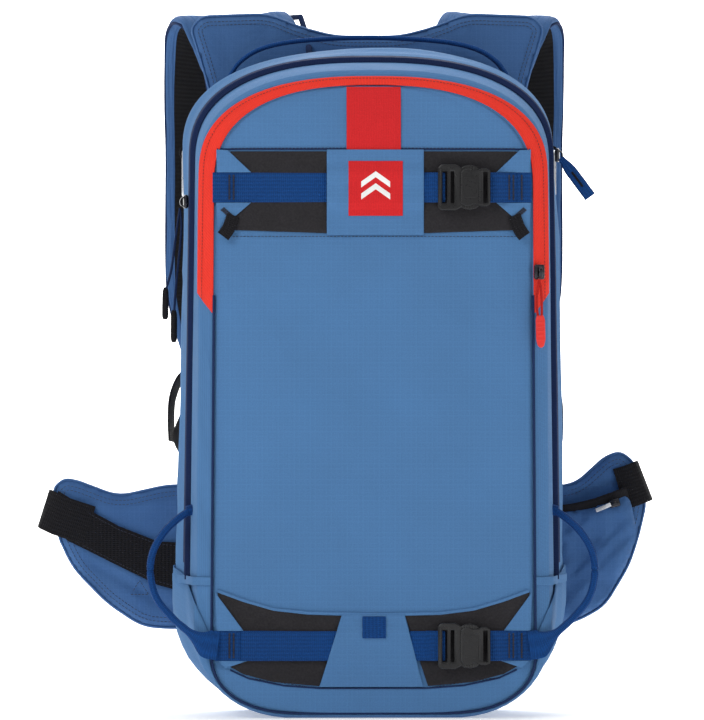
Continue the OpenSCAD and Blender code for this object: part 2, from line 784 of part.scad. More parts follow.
front_panel();
front_gusset();
main_gusset();
base_wrap();
front_divider();
frame_sheet();
back_stays();
back_panel();
back_pads();
front_zip_tape();
front_zip_slider();
front_zip_pull();
main_zip_tape();
main_slider_left();
main_pull_left();
main_slider_right();
main_pull_right();
airbag_zip_tape();
red_stripe();
upper_insets();
lower_insets();
centre_patch();
corner_tabs();
lower_patch();
lower_tab();
upper_strap_left();
upper_strap_right();
lower_strap_left();
lower_strap_right();
upper_buckle_male();
upper_buckle_housing();
lower_buckle_male();
lower_buckle_housing();
gear_loops();
grab_handle();
yoke();
shoulder_strap_left();
shoulder_strap_right();
side_hook_left();
side_hook_right();
harness_webbing();
ladderlocks();
sternum_webbing();
sternum_male();
sternum_housing();
wing_left();
wing_right();
hip_pocket();
hip_pocket_slider();
belt_webbing_left();
belt_webbing_right();
belt_male();
belt_housing();
airbag();
gas_cylinder();
inflation_head();
firing_lever();
trigger_handle();
trigger_sleeve();
trigger_cable();
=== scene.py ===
import math

import bmesh
import bpy
from mathutils import Matrix, Vector, noise


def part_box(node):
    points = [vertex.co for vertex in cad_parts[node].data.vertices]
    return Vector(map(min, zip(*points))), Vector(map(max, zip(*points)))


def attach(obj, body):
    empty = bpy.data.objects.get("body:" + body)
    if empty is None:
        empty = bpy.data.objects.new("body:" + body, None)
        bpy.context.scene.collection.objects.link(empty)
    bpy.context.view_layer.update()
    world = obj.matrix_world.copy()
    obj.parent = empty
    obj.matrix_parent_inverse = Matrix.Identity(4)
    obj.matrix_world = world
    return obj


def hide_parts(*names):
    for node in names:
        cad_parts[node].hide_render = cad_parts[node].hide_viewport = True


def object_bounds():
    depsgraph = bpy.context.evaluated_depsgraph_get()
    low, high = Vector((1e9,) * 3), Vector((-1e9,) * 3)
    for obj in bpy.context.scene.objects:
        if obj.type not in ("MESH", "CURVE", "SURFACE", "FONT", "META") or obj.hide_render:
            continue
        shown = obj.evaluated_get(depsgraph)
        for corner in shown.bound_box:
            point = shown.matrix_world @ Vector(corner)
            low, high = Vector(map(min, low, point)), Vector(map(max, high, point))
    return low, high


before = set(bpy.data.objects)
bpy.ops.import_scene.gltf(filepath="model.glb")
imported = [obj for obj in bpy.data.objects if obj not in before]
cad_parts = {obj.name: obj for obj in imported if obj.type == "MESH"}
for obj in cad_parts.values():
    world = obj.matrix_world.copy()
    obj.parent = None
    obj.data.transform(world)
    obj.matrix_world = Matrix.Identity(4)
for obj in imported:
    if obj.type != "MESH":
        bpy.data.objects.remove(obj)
cad_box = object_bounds()

# ---- Cloths ----
# The bag is nylon ripstop, and its trims are woven tapes and twill. Each cloth
# is a weave in the piece's own UV map, which is laid out in metres, with a
# slow drift of colour and a bump along the yarns.


def linear(colour):
    """sRGB hex to the linear colour that the shaders take."""
    out = []
    for k in (1, 3, 5):
        c = int(colour[k : k + 2], 16) / 255
        out.append(c / 12.92 if c <= 0.04045 else ((c + 0.055) / 1.055) ** 2.4)
    return (*out, 1.0)


def add(material, kind, inputs=None, **settings):
    """Adds one node. An input is a constant or another node's output."""
    node = material.node_tree.nodes.new("ShaderNode" + kind)
    for key, value in settings.items():
        setattr(node, key, value)
    for key, value in (inputs or {}).items():
        if isinstance(value, bpy.types.NodeSocket):
            material.node_tree.links.new(value, node.inputs[key])
        else:
            node.inputs[key].default_value = value
    return node.outputs[0]


def new_material(name, rough, metal=0.0, sheen=0.0):
    """An empty material with its shader's constants set."""
    material = bpy.data.materials.new(name)
    material.use_nodes = True
    shader = material.node_tree.nodes["Principled BSDF"]
    shader.inputs["Roughness"].default_value = rough
    shader.inputs["Metallic"].default_value = metal
    shader.inputs["Sheen Weight"].default_value = sheen
    shader.inputs["Sheen Roughness"].default_value = 0.6
    return material, shader


def woven(name, colour, across, along, grid=0.0, contrast=0.14, depth=0.35, sheen=0.03, crumple=0.0):
    """A cloth with yarns every `across` and `along` metres and ripstop lines every `grid`."""
    material, shader = new_material(name, 0.82, sheen=sheen)
    shader.inputs["Specular IOR Level"].default_value = 0.16
    uv = add(material, "UVMap", uv_map="cloth")
    split = material.node_tree.nodes.new("ShaderNodeSeparateXYZ")
    material.node_tree.links.new(uv, split.inputs[0])
    waves = []
    for socket, pitch in ((split.outputs[0], across), (split.outputs[1], along)):
        turns = add(material, "Math", {0: socket, 1: 2 * math.pi / pitch}, operation="MULTIPLY")
        waves.append(add(material, "Math", {0: turns}, operation="SINE"))
    yarn = add(material, "Math", {0: waves[0], 1: waves[1]}, operation="ADD")
    if grid:
        lines = []
        for socket in split.outputs[:2]:
            turns = add(material, "Math", {0: socket, 1: 2 * math.pi / grid}, operation="MULTIPLY")
            wave = add(material, "Math", {0: turns}, operation="COSINE")
            lines.append(add(material, "MapRange", {0: wave, 1: 0.72, 2: 1.0, 3: 0.0, 4: 1.1}))
        rib = add(material, "Math", {0: lines[0], 1: lines[1]}, operation="MAXIMUM")
        yarn = add(material, "Math", {0: yarn, 1: rib}, operation="ADD")
    drift = add(material, "TexNoise", {"Vector": uv, "Scale": 11.0, "Detail": 4.0})
    fuzz = add(material, "TexNoise", {"Vector": uv, "Scale": 900.0, "Detail": 1.0})
    light = add(material, "MapRange", {0: yarn, 1: -2.0, 2: 2.5, 3: -contrast, 4: contrast})
    slow = add(material, "MapRange", {0: drift, 1: 0.3, 2: 0.7, 3: -contrast * 0.45, 4: contrast * 0.45})
    fine = add(material, "MapRange", {0: fuzz, 1: 0.3, 2: 0.7, 3: -contrast * 0.5, 4: contrast * 0.5})
    total = add(material, "Math", {0: light, 1: slow}, operation="ADD")
    total = add(material, "Math", {0: total, 1: fine}, operation="ADD")
    value = add(material, "Math", {0: total, 1: 1.0}, operation="ADD")
    tint = add(material, "HueSaturation", {"Value": value, "Color": linear(colour)})
    rough = add(material, "MapRange", {0: drift, 1: 0.3, 2: 0.7, 3: 0.74, 4: 0.9})
    bump = add(material, "Bump", {"Height": yarn, "Strength": depth, "Distance": 0.00025})
    if crumple:
        waves = add(
            material, "TexNoise",
            {"Vector": uv, "Scale": 21.0, "Detail": 3.5, "Roughness": 0.42, "Distortion": 0.6},
        )
        bump = add(material, "Bump", {"Height": waves, "Strength": crumple, "Distance": 0.011, "Normal": bump})
    links = material.node_tree.links
    links.new(tint, shader.inputs["Base Color"])
    links.new(rough, shader.inputs["Roughness"])
    links.new(bump, shader.inputs["Normal"])
    return material


def solid(name, colour, rough, metal=0.0, grain=400.0, depth=0.15, edge_highlight=0.25, vary=0.1):
    """A moulded, cast or foamed material with a fine grain and paler edges, where a highlight is painted."""
    material, shader = new_material(name, rough, metal)
    place = add(material, "TexCoord")
    place = material.node_tree.nodes[-1].outputs["Object"]
    fine = add(material, "TexNoise", {"Vector": place, "Scale": grain, "Detail": 4.0})
    slow = add(material, "TexNoise", {"Vector": place, "Scale": 30.0, "Detail": 2.0})
    value = add(material, "MapRange", {0: slow, 1: 0.3, 2: 0.7, 3: 1 - vary, 4: 1 + vary})
    tint = add(material, "HueSaturation", {"Value": value, "Color": linear(colour)})
    # Painted highlight: convex edges, found by their pointiness, are mixed towards a paler tint
    add(material, "NewGeometry")
    edge = material.node_tree.nodes[-1].outputs["Pointiness"]
    edge = add(material, "MapRange", {0: edge, 1: 0.52, 2: 0.62, 3: 0.0, 4: edge_highlight})
    highlight_tint = tuple(min(1.0, c * 1.8 + 0.05) for c in linear(colour)[:3]) + (1.0,)
    highlight_mix = material.node_tree.nodes.new("ShaderNodeMix")
    highlight_mix.data_type = "RGBA"
    links = material.node_tree.links
    links.new(edge, highlight_mix.inputs[0])
    links.new(tint, highlight_mix.inputs[6])
    highlight_mix.inputs[7].default_value = highlight_tint
    links.new(highlight_mix.outputs[2], shader.inputs["Base Color"])
    low, high = max(0.05, rough - 0.1), min(1.0, rough + 0.1)
    spread = add(material, "MapRange", {0: fine, 1: 0.3, 2: 0.7, 3: low, 4: high})
    links.new(spread, shader.inputs["Roughness"])
    bump = add(material, "Bump", {"Height": fine, "Strength": depth, "Distance": 0.0003})
    links.new(bump, shader.inputs["Normal"])
    return material


# Body cloth: 210 denier nylon ripstop, dusty blue
ripstop = woven(
    "nylon ripstop, blue", "#4e7aaa", 0.0011, 0.0011, grid=0.0044, contrast=0.10, depth=0.3, crumple=0.30,
)
# Darker copy of the same cloth, with painted shade, on the harness and wings
ripstop_shaded = woven(
    "nylon ripstop, blue in painted shade", "#43689a", 0.0011, 0.0011, grid=0.0044, contrast=0.11, depth=0.3, crumple=0.42,
)
# Compression webbing: 25 mm polypropylene, navy
webbing_navy = woven("polypropylene webbing, navy", "#0c3f7c", 0.0031, 0.0017, contrast=0.22, depth=0.7)
# Harness webbing, black
webbing_black = woven("polypropylene webbing, black", "#17161a", 0.0031, 0.0017, contrast=0.25, depth=0.7)
# Zip tapes: tight polyester
tape_red = woven("polyester zip tape, red", "#ee3a2c", 0.0012, 0.0014, contrast=0.1)
tape_navy = woven("polyester zip tape, dark navy", "#1c2c52", 0.0012, 0.0014, contrast=0.15)
tape_black = woven("polyester zip tape, black", "#19181c", 0.0012, 0.0014, contrast=0.15)
# Red twill of the stripe and the label
twill_red = woven("polyester twill, red", "#d4262a", 0.0014, 0.0011, contrast=0.12)
# Spacer mesh of the back and the strap linings: open knit over foam
mesh_black = woven("spacer mesh, black", "#1d1c20", 0.0042, 0.0036, contrast=0.5, depth=1.0)
# Edge piping and bindings, dark navy
piping = woven("polyester binding, dark navy", "#1b2f57", 0.0015, 0.0015, contrast=0.15)
# Sewing thread, dark and navy
thread_dark = solid("polyester thread, dark", "#1a1d2e", 0.7, grain=900.0)
thread_red = solid("polyester thread, dark red", "#7c1714", 0.7, grain=900.0)
# Textured EVA foam of the insets
eva = solid("EVA foam, black", "#1e1c20", 0.92, grain=620.0, depth=0.9, edge_highlight=0.1, vary=0.18)
# Acetal of the buckles and ladderlocks
acetal = solid("acetal, black", "#0e0e11", 0.34, grain=700.0, depth=0.12)
# Moulded rubber of the red pull and the trigger
rubber_red = solid("thermoplastic rubber, red", "#d8271f", 0.5, grain=500.0)
# Anodised aluminium of the hooks, sliders and stays
aluminium = solid("anodised aluminium", "#b4b7bd", 0.32, metal=1.0, grain=300.0, depth=0.05)
# Painted steel of the gas cylinder
steel_paint = solid("powder coat on steel, grey", "#8d9096", 0.5, grain=800.0)
# Polyethylene of the frame sheet
polythene = solid("polyethylene sheet, black", "#202024", 0.55, grain=200.0)


# ---- Bag shell ----
# The bag's outline in plan of the front: half width, share of it kept at the
# top, bottom, top and base radius, all in metres. The same five outlines carry
# the panel, the gussets, the zips and the piping, so their edges meet.
PANEL = (0.134, 0.98, 0.0045, 0.524, 0.050)
LIP = (0.146, 0.985, 0.0015, 0.537, 0.080)
DIVIDE = (0.152, 0.970, 0.0015, 0.545, 0.100)
MIDDLE = (0.158, 0.955, 0.0015, 0.552, 0.110)
BACK = (0.152, 0.950, 0.0015, 0.548, 0.110)
PLANES = ((-0.091, PANEL), (-0.083, LIP), (-0.048, DIVIDE), (0.0, MIDDLE), (0.074, BACK))
FLAT = 0.060
CROWN = 0.085


def half_outline(o, grow=0.0, base=14, side=26, crown=26):
    """Right half of an outline from the base to the crown, and its corners' shares."""
    w, low, high = o[0] + grow, o[2] - grow, o[3] + grow
    top = w * o[1]
    points = []
    for k in range(base + 1):
        a = math.pi / 2 * k / base
        x = FLAT + (w - FLAT) * math.sin(a) ** (2 / 2.3)
        points.append((x, low + o[4] * (1 - max(0.0, math.cos(a)) ** (2 / 2.3))))
    z0, z1 = low + o[4], high - CROWN
    for k in range(1, side):
        f = k / side
        points.append((w + (top - w) * f, z0 + (z1 - z0) * f))
    for k in range(crown + 1):
        a = math.pi / 2 * k / crown
        x = top * max(0.0, math.cos(a)) ** (2 / 2.5)
        points.append((x, high + CROWN * (math.sin(a) ** (2 / 2.5) - 1)))
    return points


def outline_at(y):
    """The outline at one depth."""
    for (y0, a), (y1, b) in zip(PLANES, PLANES[1:]):
        if y <= y1:
            f = max(0.0, (y - y0) / (y1 - y0))
            return tuple(p + (q - p) * f for p, q in zip(a, b))
    return PLANES[-1][1]


PANEL_EDGE = half_outline(PANEL)


def panel_half_width(z):
    """Half width of the front panel at one height."""
    for (x0, z0), (x1, z1) in zip(PANEL_EDGE, PANEL_EDGE[1:]):
        if z0 <= z <= z1 and z1 > z0:
            return x0 + (x1 - x0) * (z - z0) / (z1 - z0)
    return PANEL_EDGE[0][0] if z < PANEL_EDGE[0][1] else 0.001


# Heights of the two compression straps
STRAPS = (0.060, 0.440)


def front_y(x, z):
    """Depth of the stuffed front panel: it bellies out between the straps that hold it."""
    share = min(1.0, abs(x) / max(0.02, panel_half_width(z)))
    edge = 1 - share**5
    belly = 0.0
    if STRAPS[0] < z < STRAPS[1]:
        belly = 0.0085 * math.sin(math.pi * (z - STRAPS[0]) / (STRAPS[1] - STRAPS[0])) ** 0.8
    elif z >= STRAPS[1]:
        belly = 0.0035 * math.sin(math.pi * min(1.0, (z - STRAPS[1]) / 0.084))
    belly *= 1 - share**2.4
    slow = noise.noise(Vector((x * 9, z * 7, 3.1))) * 0.0020
    pucker = noise.noise(Vector((x * 14, z * 85, 7.7))) * 0.0011 * share**3
    hold = min(1.0, min(abs(z - s) for s in STRAPS) / 0.05)
    return -0.091 - 0.003 * edge - belly - (slow * hold + pucker) * min(1.0, 6 * (1 - share))


def build(name, points, faces, uvs, material, smooth=60):
    """A mesh object from points, faces and one UV per point, all in metres."""
    data = bpy.data.meshes.new(name)
    data.from_pydata(points, [], faces)
    layer = data.uv_layers.new(name="cloth")
    for loop in data.loops:
        layer.data[loop.index].uv = uvs[loop.vertex_index]
    data.materials.append(material)
    obj = bpy.data.objects.new(name, data)
    bpy.context.collection.objects.link(obj)
    bpy.ops.object.select_all(action="DESELECT")
    obj.select_set(True)
    bpy.context.view_layer.objects.active = obj
    bpy.ops.object.mode_set(mode="EDIT")
    bpy.ops.mesh.select_all(action="SELECT")
    bpy.ops.mesh.normals_make_consistent(inside=False)
    bpy.ops.object.mode_set(mode="OBJECT")
    bpy.ops.object.shade_smooth_by_angle(angle=math.radians(smooth))
    return obj


def grid_faces(rows, columns, closed=False):
    """Quads of a grid of points."""
    last = columns if closed else columns - 1
    return [
        (
            r * columns + c, r * columns + (c + 1) % columns, (r + 1) * columns + (c + 1) % columns,
            (r + 1) * columns + c,
        )
        for r in range(rows - 1)
        for c in range(last)
    ]


def apply_modifier(obj, kind, **settings):
    """Adds one modifier and applies it."""
    bpy.ops.object.select_all(action="DESELECT")
    obj.select_set(True)
    bpy.context.view_layer.objects.active = obj
    modifier = obj.modifiers.new(kind.lower(), kind)
    for key, value in settings.items():
        setattr(modifier, key, value)
    bpy.ops.object.modifier_apply(modifier=modifier.name)
    return obj


def finish_piece(obj, slot, body, *nodes):
    """Ties a finished piece to its CAD body and hides its CAD nodes. The slot is not used."""
    if nodes:
        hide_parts(*nodes)
    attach(obj, body)
    return obj


# Front panel: one padded ripstop panel, sewn in round its edge. Its rows
# follow the seam, and it bellies out over what the pocket holds.
rows = PANEL_EDGE
columns = 61
points, uvs = [], []
for w, z in rows:
    for c in range(columns):
        x = w * (2 * c / (columns - 1) - 1)
        points.append((x, front_y(x, z), z))
        uvs.append((x, z))
panel = build("front_panel_cloth", points, grid_faces(len(rows), columns), uvs, ripstop)
apply_modifier(panel, "SOLIDIFY", thickness=0.002, offset=-1.0)
finish_piece(panel, "shell_fabric", "bag", "front_panel")


def swell(y, x, z, spans):
    """How far the stuffed cloth stands out between two seams, with its folds."""
    for y0, y1, height in spans:
        if y0 <= y <= y1:
            f = (y - y0) / (y1 - y0)
            lift = height * math.sin(math.pi * f) ** 0.7
            fold = noise.noise(Vector((x * 6, y * 70, z * 5))) * 0.60
            crease = abs(noise.noise(Vector((x * 3 + 4, y * 34, z * 9)))) * 0.8
            return lift * (1 + fold - crease)
    return 0.0


def shell(name, depths, spans, lift, material, low=None, high=None):
    """A band of cloth round the bag over several depths, standing `lift` off the shell."""
    points, uvs = [], []
    count = None
    for y in depths:
        half = half_outline(outline_at(y), lift)
        ring = half + [(-x, z) for x, z in reversed(half)][1:]
        if low is not None:
            ring = half[14 + low :] + [(-x, z) for x, z in reversed(half[14 + low :])][1:]
        if high is not None:
            lower = half[: 15 + high]
            ring = [(-x, z) for x, z in reversed(lower)] + lower
        count = len(ring)
        length = 0.0
        for k, (x, z) in enumerate(ring):
            if k:
                length += math.dist(ring[k], ring[k - 1])
            out = swell(y, x, z, spans) * min(1.0, z / 0.05)
            side = Vector((x * 3.2, 0, z - 0.27)).normalized()
            if z < 0.42:
                side = Vector((math.copysign(1.0, x), 0, 0))
            points.append((x + side.x * out, y, max(0.0006, z + side.z * out)))
            uvs.append((y, length))
    closed = low is None and high is None
    return build(name, points, grid_faces(len(depths), count, closed), uvs, material)


def steps(a, b, n):
    """Evenly spaced values from a to b."""
    return [a + (b - a) * k / n for k in range(n + 1)]


# Front gusset: the narrow band between the front panel's seam and the main
# zip, ripstop over thin foam, slightly proud between its seams.
gusset = shell(
    "front_gusset_cloth", steps(-0.091, -0.083, 4) + steps(-0.080, -0.048, 16), ((-0.086, -0.047, 0.0013),),
    0.0, ripstop,
)
apply_modifier(gusset, "SOLIDIFY", thickness=0.0015, offset=-1.0)
finish_piece(gusset, "shell_fabric", "bag", "front_gusset")

# Main gusset: the deep band of the main compartment, with soft upright folds
# where the load pulls on the zip.
main = shell("main_gusset_cloth", steps(-0.048, 0.074, 40), ((-0.035, 0.072, 0.0065),), 0.0, ripstop)
apply_modifier(main, "SOLIDIFY", thickness=0.0015, offset=-1.0)
finish_piece(main, "shell_fabric", "bag", "main_gusset")

# Base wrap: a second layer round the lower corners and under the base, with
# its hem at the height of the gear loops.
wrap = shell(
    "base_wrap_cloth", steps(-0.0905, -0.083, 3) + steps(-0.080, 0.074, 40),
    ((-0.086, -0.047, 0.0013), (-0.035, 0.072, 0.0065)), 0.0014, ripstop, high=1,
)
apply_modifier(wrap, "SOLIDIFY", thickness=0.0008, offset=1.0)
finish_piece(wrap, "shell_fabric", "bag", "base_wrap")

# ---- Zips and piping ----
# Reverse coil zips: two tapes meet over the coil, so only their line shows.
# The red one opens the front pocket, the dark ones the main compartment and,
# over the crown, the airbag's burst flap.
def tape_pair(name, y0, y1, low, lift, material, slot, node):
    """The two halves of a zip tape that runs round the outline between two depths."""
    middle = (y0 + y1) / 2
    halves = []
    for k, (a, b) in enumerate(((y0, middle - 0.0003), (middle + 0.0003, y1))):
        halves.append(shell(f"{name}_{k}", steps(a, b, 5), ((y0, y1, 0.0012),), lift, material, low=low))
    bpy.ops.object.select_all(action="DESELECT")
    for half in halves:
        half.select_set(True)
    bpy.context.view_layer.objects.active = halves[0]
    bpy.ops.object.join()
    halves[0].name = name
    apply_modifier(halves[0], "SOLIDIFY", thickness=0.0009, offset=1.0)
    return finish_piece(halves[0], slot, "bag", node)


tape_pair("main_zip", -0.0455, -0.0355, 2, 0.0030, tape_navy, "zip_tape", "main_zip_tape")
tape_pair("burst_zip", 0.027, 0.037, 37, 0.0052, tape_black, "zip_tape", "airbag_zip_tape")
zip_start = 33
count = 2 * (len(PANEL_EDGE) - zip_start) - 1


def on_red_zip(k, share, lift):
    """A place on the red zip: step k of its length, share of its width, which narrows at the crown."""
    crown = math.sin(math.pi * k / (count - 1)) ** 1.6
    y = -0.0922 + (0.0097 - 0.0042 * crown) * share
    half = half_outline(outline_at(y), lift)[zip_start:]
    x, z = half[k] if k < len(half) else (-half[count - 1 - k][0], half[count - 1 - k][1])
    return Vector((x, y, z))


points, uvs = [], []
for row in range(11):
    for k in range(count):
        points.append(on_red_zip(k, row / 10, 0.0010 + 0.0012 * math.sin(math.pi * row / 10)))
        uvs.append((row * 0.0014, k * 0.008))
red_zip = build("front_zip", points, grid_faces(11, count), uvs, tape_red)
apply_modifier(red_zip, "SOLIDIFY", thickness=0.0010, offset=1.0)
finish_piece(red_zip, "red_fabric", "bag", "front_zip_tape")


def sweep(name, path, section, material, across=None, sizes=None, smooth=60):
    """A section drawn along a path. across is the direction of its width, at each point or for all."""
    points, uvs = [], []
    n = len(section)
    length = 0.0
    rim = [0.0]
    for a, b in zip(section, section[1:]):
        rim.append(rim[-1] + math.dist(a, b))
    for i, p in enumerate(path):
        if i:
            length += (p - path[i - 1]).length
        d = (path[min(i + 1, len(path) - 1)] - path[max(i - 1, 0)]).normalized()
        side = across[i] if isinstance(across, list) else (across or Vector((0.31, 0.9, 0.27)))
        a = (side - d * side.dot(d)).normalized()
        b = d.cross(a)
        s = sizes[i] if sizes else (1.0, 1.0)
        for k, (u, v) in enumerate(section):
            points.append(p + a * (u * s[0]) + b * (v * s[1]))
            uvs.append((rim[k], length))
    faces = grid_faces(len(path), n, closed=True)
    faces += [tuple(range(n)), tuple((len(path) - 1) * n + k for k in range(n))]
    return build(name, points, faces, uvs, material, smooth)


def circle(r, n=10):
    """Section of a round cord."""
    return [(r * math.cos(2 * math.pi * k / n), r * math.sin(2 * math.pi * k / n)) for k in range(n)]


def flat(width, thick, n=10):
    """Section of a flat webbing with soft edges."""
    w, t = width / 2, thick / 2
    top = [(w - t + t * math.cos(a), t * math.sin(a)) for a in (-1.2, 0.0, 1.2)]
    upper = [(w - t - 2 * (w - t) * k / n, t) for k in range(n + 1)]
    end = [(-w + t - t * math.cos(a), t * math.sin(a)) for a in (1.2, 0.0, -1.2)]
    lower = [(-(w - t) + 2 * (w - t) * k / n, -t) for k in range(n + 1)]
    return top + upper + end + lower


def curve(points, per=8):
    """A smooth run of points through the given ones."""
    p = [Vector(q) for q in points]
    p = [p[0] * 2 - p[1]] + p + [p[-1] * 2 - p[-2]]
    out = []
    for i in range(1, len(p) - 2):
        for k in range(per):
            t = k / per
            a, b, c, d = p[i - 1], p[i], p[i + 1], p[i + 2]
            out.append(
                0.5 * (
                    (2 * b) + (c - a) * t + (2 * a - 5 * b + 4 * c - d) * t * t + (3 * b - a - 3 * c + d) * t**3
                )
            )
    return out + [p[-2]]


# Piping: a cord in a folded binding, sewn into the seam round the front panel
# below the red zip, and along both sides of the main zip.
edge = [Vector((x, -0.0925, z)) for x, z in half_outline(PANEL, 0.0006) if z < 0.353]
path = [Vector((-p.x, p.y, p.z)) for p in reversed(edge)] + edge
finish_piece(sweep("panel_piping", path, circle(0.0011), piping, Vector((0, 1, 0))), "zip_tape", "bag")
for k, y in enumerate((-0.0462, -0.0348)):
    half = half_outline(outline_at(y), 0.0026)[15:]
    path = [Vector((x, y, z)) for x, z in half] + [Vector((-x, y, z)) for x, z in reversed(half)][1:]
    finish_piece(
        sweep(f"main_piping_{k}", path, circle(0.0009, 8), piping, Vector((0, 1, 0))), "zip_tape", "bag",
    )
# The tape's turned edge faces forward, a dark line beside the front gusset
half = half_outline(outline_at(-0.0464), 0.0021)[15:]
path = [Vector((x, -0.0466, z)) for x, z in half] + [Vector((-x, -0.0466, z)) for x, z in reversed(half)][1:]
across = []
for k, p in enumerate(path):
    d = path[min(k + 1, len(path) - 1)] - path[max(k - 1, 0)]
    across.append(Vector((0, 1, 0)).cross(d).normalized())
finish_piece(sweep("main_zip_edge", path, flat(0.0048, 0.0012, 4), tape_navy, across), "zip_tape", "bag")
# Hem of the base wrap: its folded edge. Its row of stitches is not drawn.
half = half_outline(LIP, 0.0)
hem = [Vector((panel_half_width(0.11) + 0.001, -0.0915, 0.1135))]
for y in steps(-0.083, 0.072, 24):
    o = outline_at(y)
    x = (o[0] + 0.0026) * (1 - (1 - o[1]) * 0.02) + swell(
        y, 0.15, 0.115, ((-0.086, -0.047, 0.0013), (-0.035, 0.072, 0.0065)),
    )
    hem.append(Vector((x, y, 0.1135)))
for s in (1, -1):
    finish_piece(
        sweep(
            f"wrap_hem_{'right' if s > 0 else 'left'}", [Vector((s * p.x, p.y, p.z)) for p in hem],
            flat(0.007, 0.0012, 3), ripstop, Vector((0, 0, 1)),
        ),
        "shell_fabric", "bag",
    )


def stitches(name, runs, material, body, slot, length=0.0022, gap=0.0014, thick=0.0005, out=Vector((0, -1, 0))):
    """Short raised threads laid end to end along each run of points."""
    points, faces = [], []
    for run in runs:
        d = [0.0]
        for a, b in zip(run, run[1:]):
            d.append(d[-1] + (b - a).length)
        start = 0.0
        while start + length <= d[-1]:
            ends = []
            for s in (start, start + length):
                k = max(i for i in range(len(d)) if d[i] <= s + 1e-9)
                k = min(k, len(run) - 2)
                ends.append(run[k].lerp(run[k + 1], (s - d[k]) / max(1e-9, d[k + 1] - d[k])))
            a, b = ends
            side = (b - a).normalized().cross(out).normalized() * thick / 2
            n = len(points)
            for p in (a, b):
                points += [
                    p - side, p + side, p + side * 0.5 + out * thick * 0.7, p - side * 0.5 + out * thick * 0.7,
                ]
            faces += [(n + i, n + (i + 1) % 4, n + 4 + (i + 1) % 4, n + 4 + i) for i in range(4)]
            faces += [(n, n + 1, n + 2, n + 3), (n + 4, n + 5, n + 6, n + 7)]
            start += length + gap
    obj = build(name, points, faces, [(0.0, 0.0)] * len(points), material)
    return finish_piece(obj, slot, body)


# Stitch line of the red zip: a row of dark red thread along its outer third
runs = [[on_red_zip(k, 0.62, 0.0033) - Vector((0, 0.0008, 0)) for k in range(count)]]
stitches("front_zip_stitches", runs, thread_red, "bag", "red_fabric", length=0.0016, gap=0.0012, thick=0.0006)


# ---- Front panel trims ----
# Each trim is cut from its own cloth or foam, laid on the stuffed panel and
# sewn round. A trim follows the panel at a height of its own above it.
def trim(name, outline, lift, thick, material, slot, body, *nodes, cell=0.005, surface=front_y):
    """A thin piece of cloth that follows the surface inside an outline."""
    mesh = bmesh.new()
    corners = [mesh.verts.new((x, 0, z)) for x, z in outline]
    mesh.faces.new(corners)
    xs, zs = [p[0] for p in outline], [p[1] for p in outline]
    for axis, low, high in ((0, min(xs), max(xs)), (2, min(zs), max(zs))):
        n = max(1, int((high - low) / cell))
        for k in range(1, n):
            at = Vector((0, 0, 0))
            at[axis] = low + (high - low) * k / n
            normal = Vector((0, 0, 0))
            normal[axis] = 1.0
            bmesh.ops.bisect_plane(
                mesh, geom=mesh.verts[:] + mesh.edges[:] + mesh.faces[:], plane_co=at, plane_no=normal,
            )
    for v in mesh.verts:
        rise = lift(v.co.x, v.co.z) if callable(lift) else lift
        v.co.y = surface(v.co.x, v.co.z) - rise
    layer = mesh.loops.layers.uv.new("cloth")
    for face in mesh.faces:
        for loop in face.loops:
            loop[layer].uv = (loop.vert.co.x, loop.vert.co.z)
    bmesh.ops.recalc_face_normals(mesh, faces=mesh.faces)
    if sum(f.normal.y for f in mesh.faces) > 0:
        bmesh.ops.reverse_faces(mesh, faces=mesh.faces)
    data = bpy.data.meshes.new(name)
    mesh.to_mesh(data)
    mesh.free()
    data.materials.append(material)
    obj = bpy.data.objects.new(name, data)
    bpy.context.collection.objects.link(obj)
    apply_modifier(obj, "SOLIDIFY", thickness=thick, offset=1.0)
    apply_modifier(
        obj, "BEVEL", width=thick * 0.4, segments=2, limit_method="ANGLE", angle_limit=math.radians(50),
    )
    bpy.ops.object.shade_smooth_by_angle(angle=math.radians(50))
    return finish_piece(obj, slot, body, *nodes)


def join(objects, name):
    """Several meshes of one piece as one object."""
    bpy.ops.object.select_all(action="DESELECT")
    for o in objects:
        o.select_set(True)
    bpy.context.view_layer.objects.active = objects[0]
    bpy.ops.object.join()
    objects[0].name = name
    return objects[0]


def mirrored(outline):
    """An outline on the other side of the bag."""
    return [(-x, z) for x, z in reversed(outline)]


# Red stripe from the zip to the strap, plain twill
trim(
    "red_stripe_cloth", [(-0.0225, 0.466), (0.0225, 0.466), (0.0225, 0.5235), (-0.0225, 0.5235)], 0.0006,
    0.0006, twill_red, "red_fabric", "bag", "red_stripe",
)

# Foam insets behind the upper strap, cut to a point between the corner tabs
upper = [(0.038, 0.402), (0.127, 0.405), (0.1285, 0.466), (0.118, 0.470), (0.038, 0.470)]
finish_piece(
    join(
        [
            trim("a", upper, 0.0002, 0.0014, eva, "foam_inset", "bag"),
            trim("b", mirrored(upper), 0.0002, 0.0014, eva, "foam_inset", "bag"),
        ],
        "upper_foam",
    ),
    "foam_inset", "bag", "upper_insets",
)
# Foam insets behind the lower strap, under the curved hem of the panel
lower = [
    (0.0450, 0.0265), (0.083, 0.0300), (0.108, 0.0365), (0.1215, 0.0440), (0.1295, 0.1045), (0.107, 0.0965),
    (0.083, 0.0895), (0.055, 0.0860), (0.026, 0.0850),
]
finish_piece(
    join(
        [
            trim("a", lower, 0.0002, 0.0014, eva, "foam_inset", "bag"),
            trim("b", mirrored(lower), 0.0002, 0.0014, eva, "foam_inset", "bag"),
        ],
        "lower_foam",
    ),
    "foam_inset", "bag", "lower_insets",
)

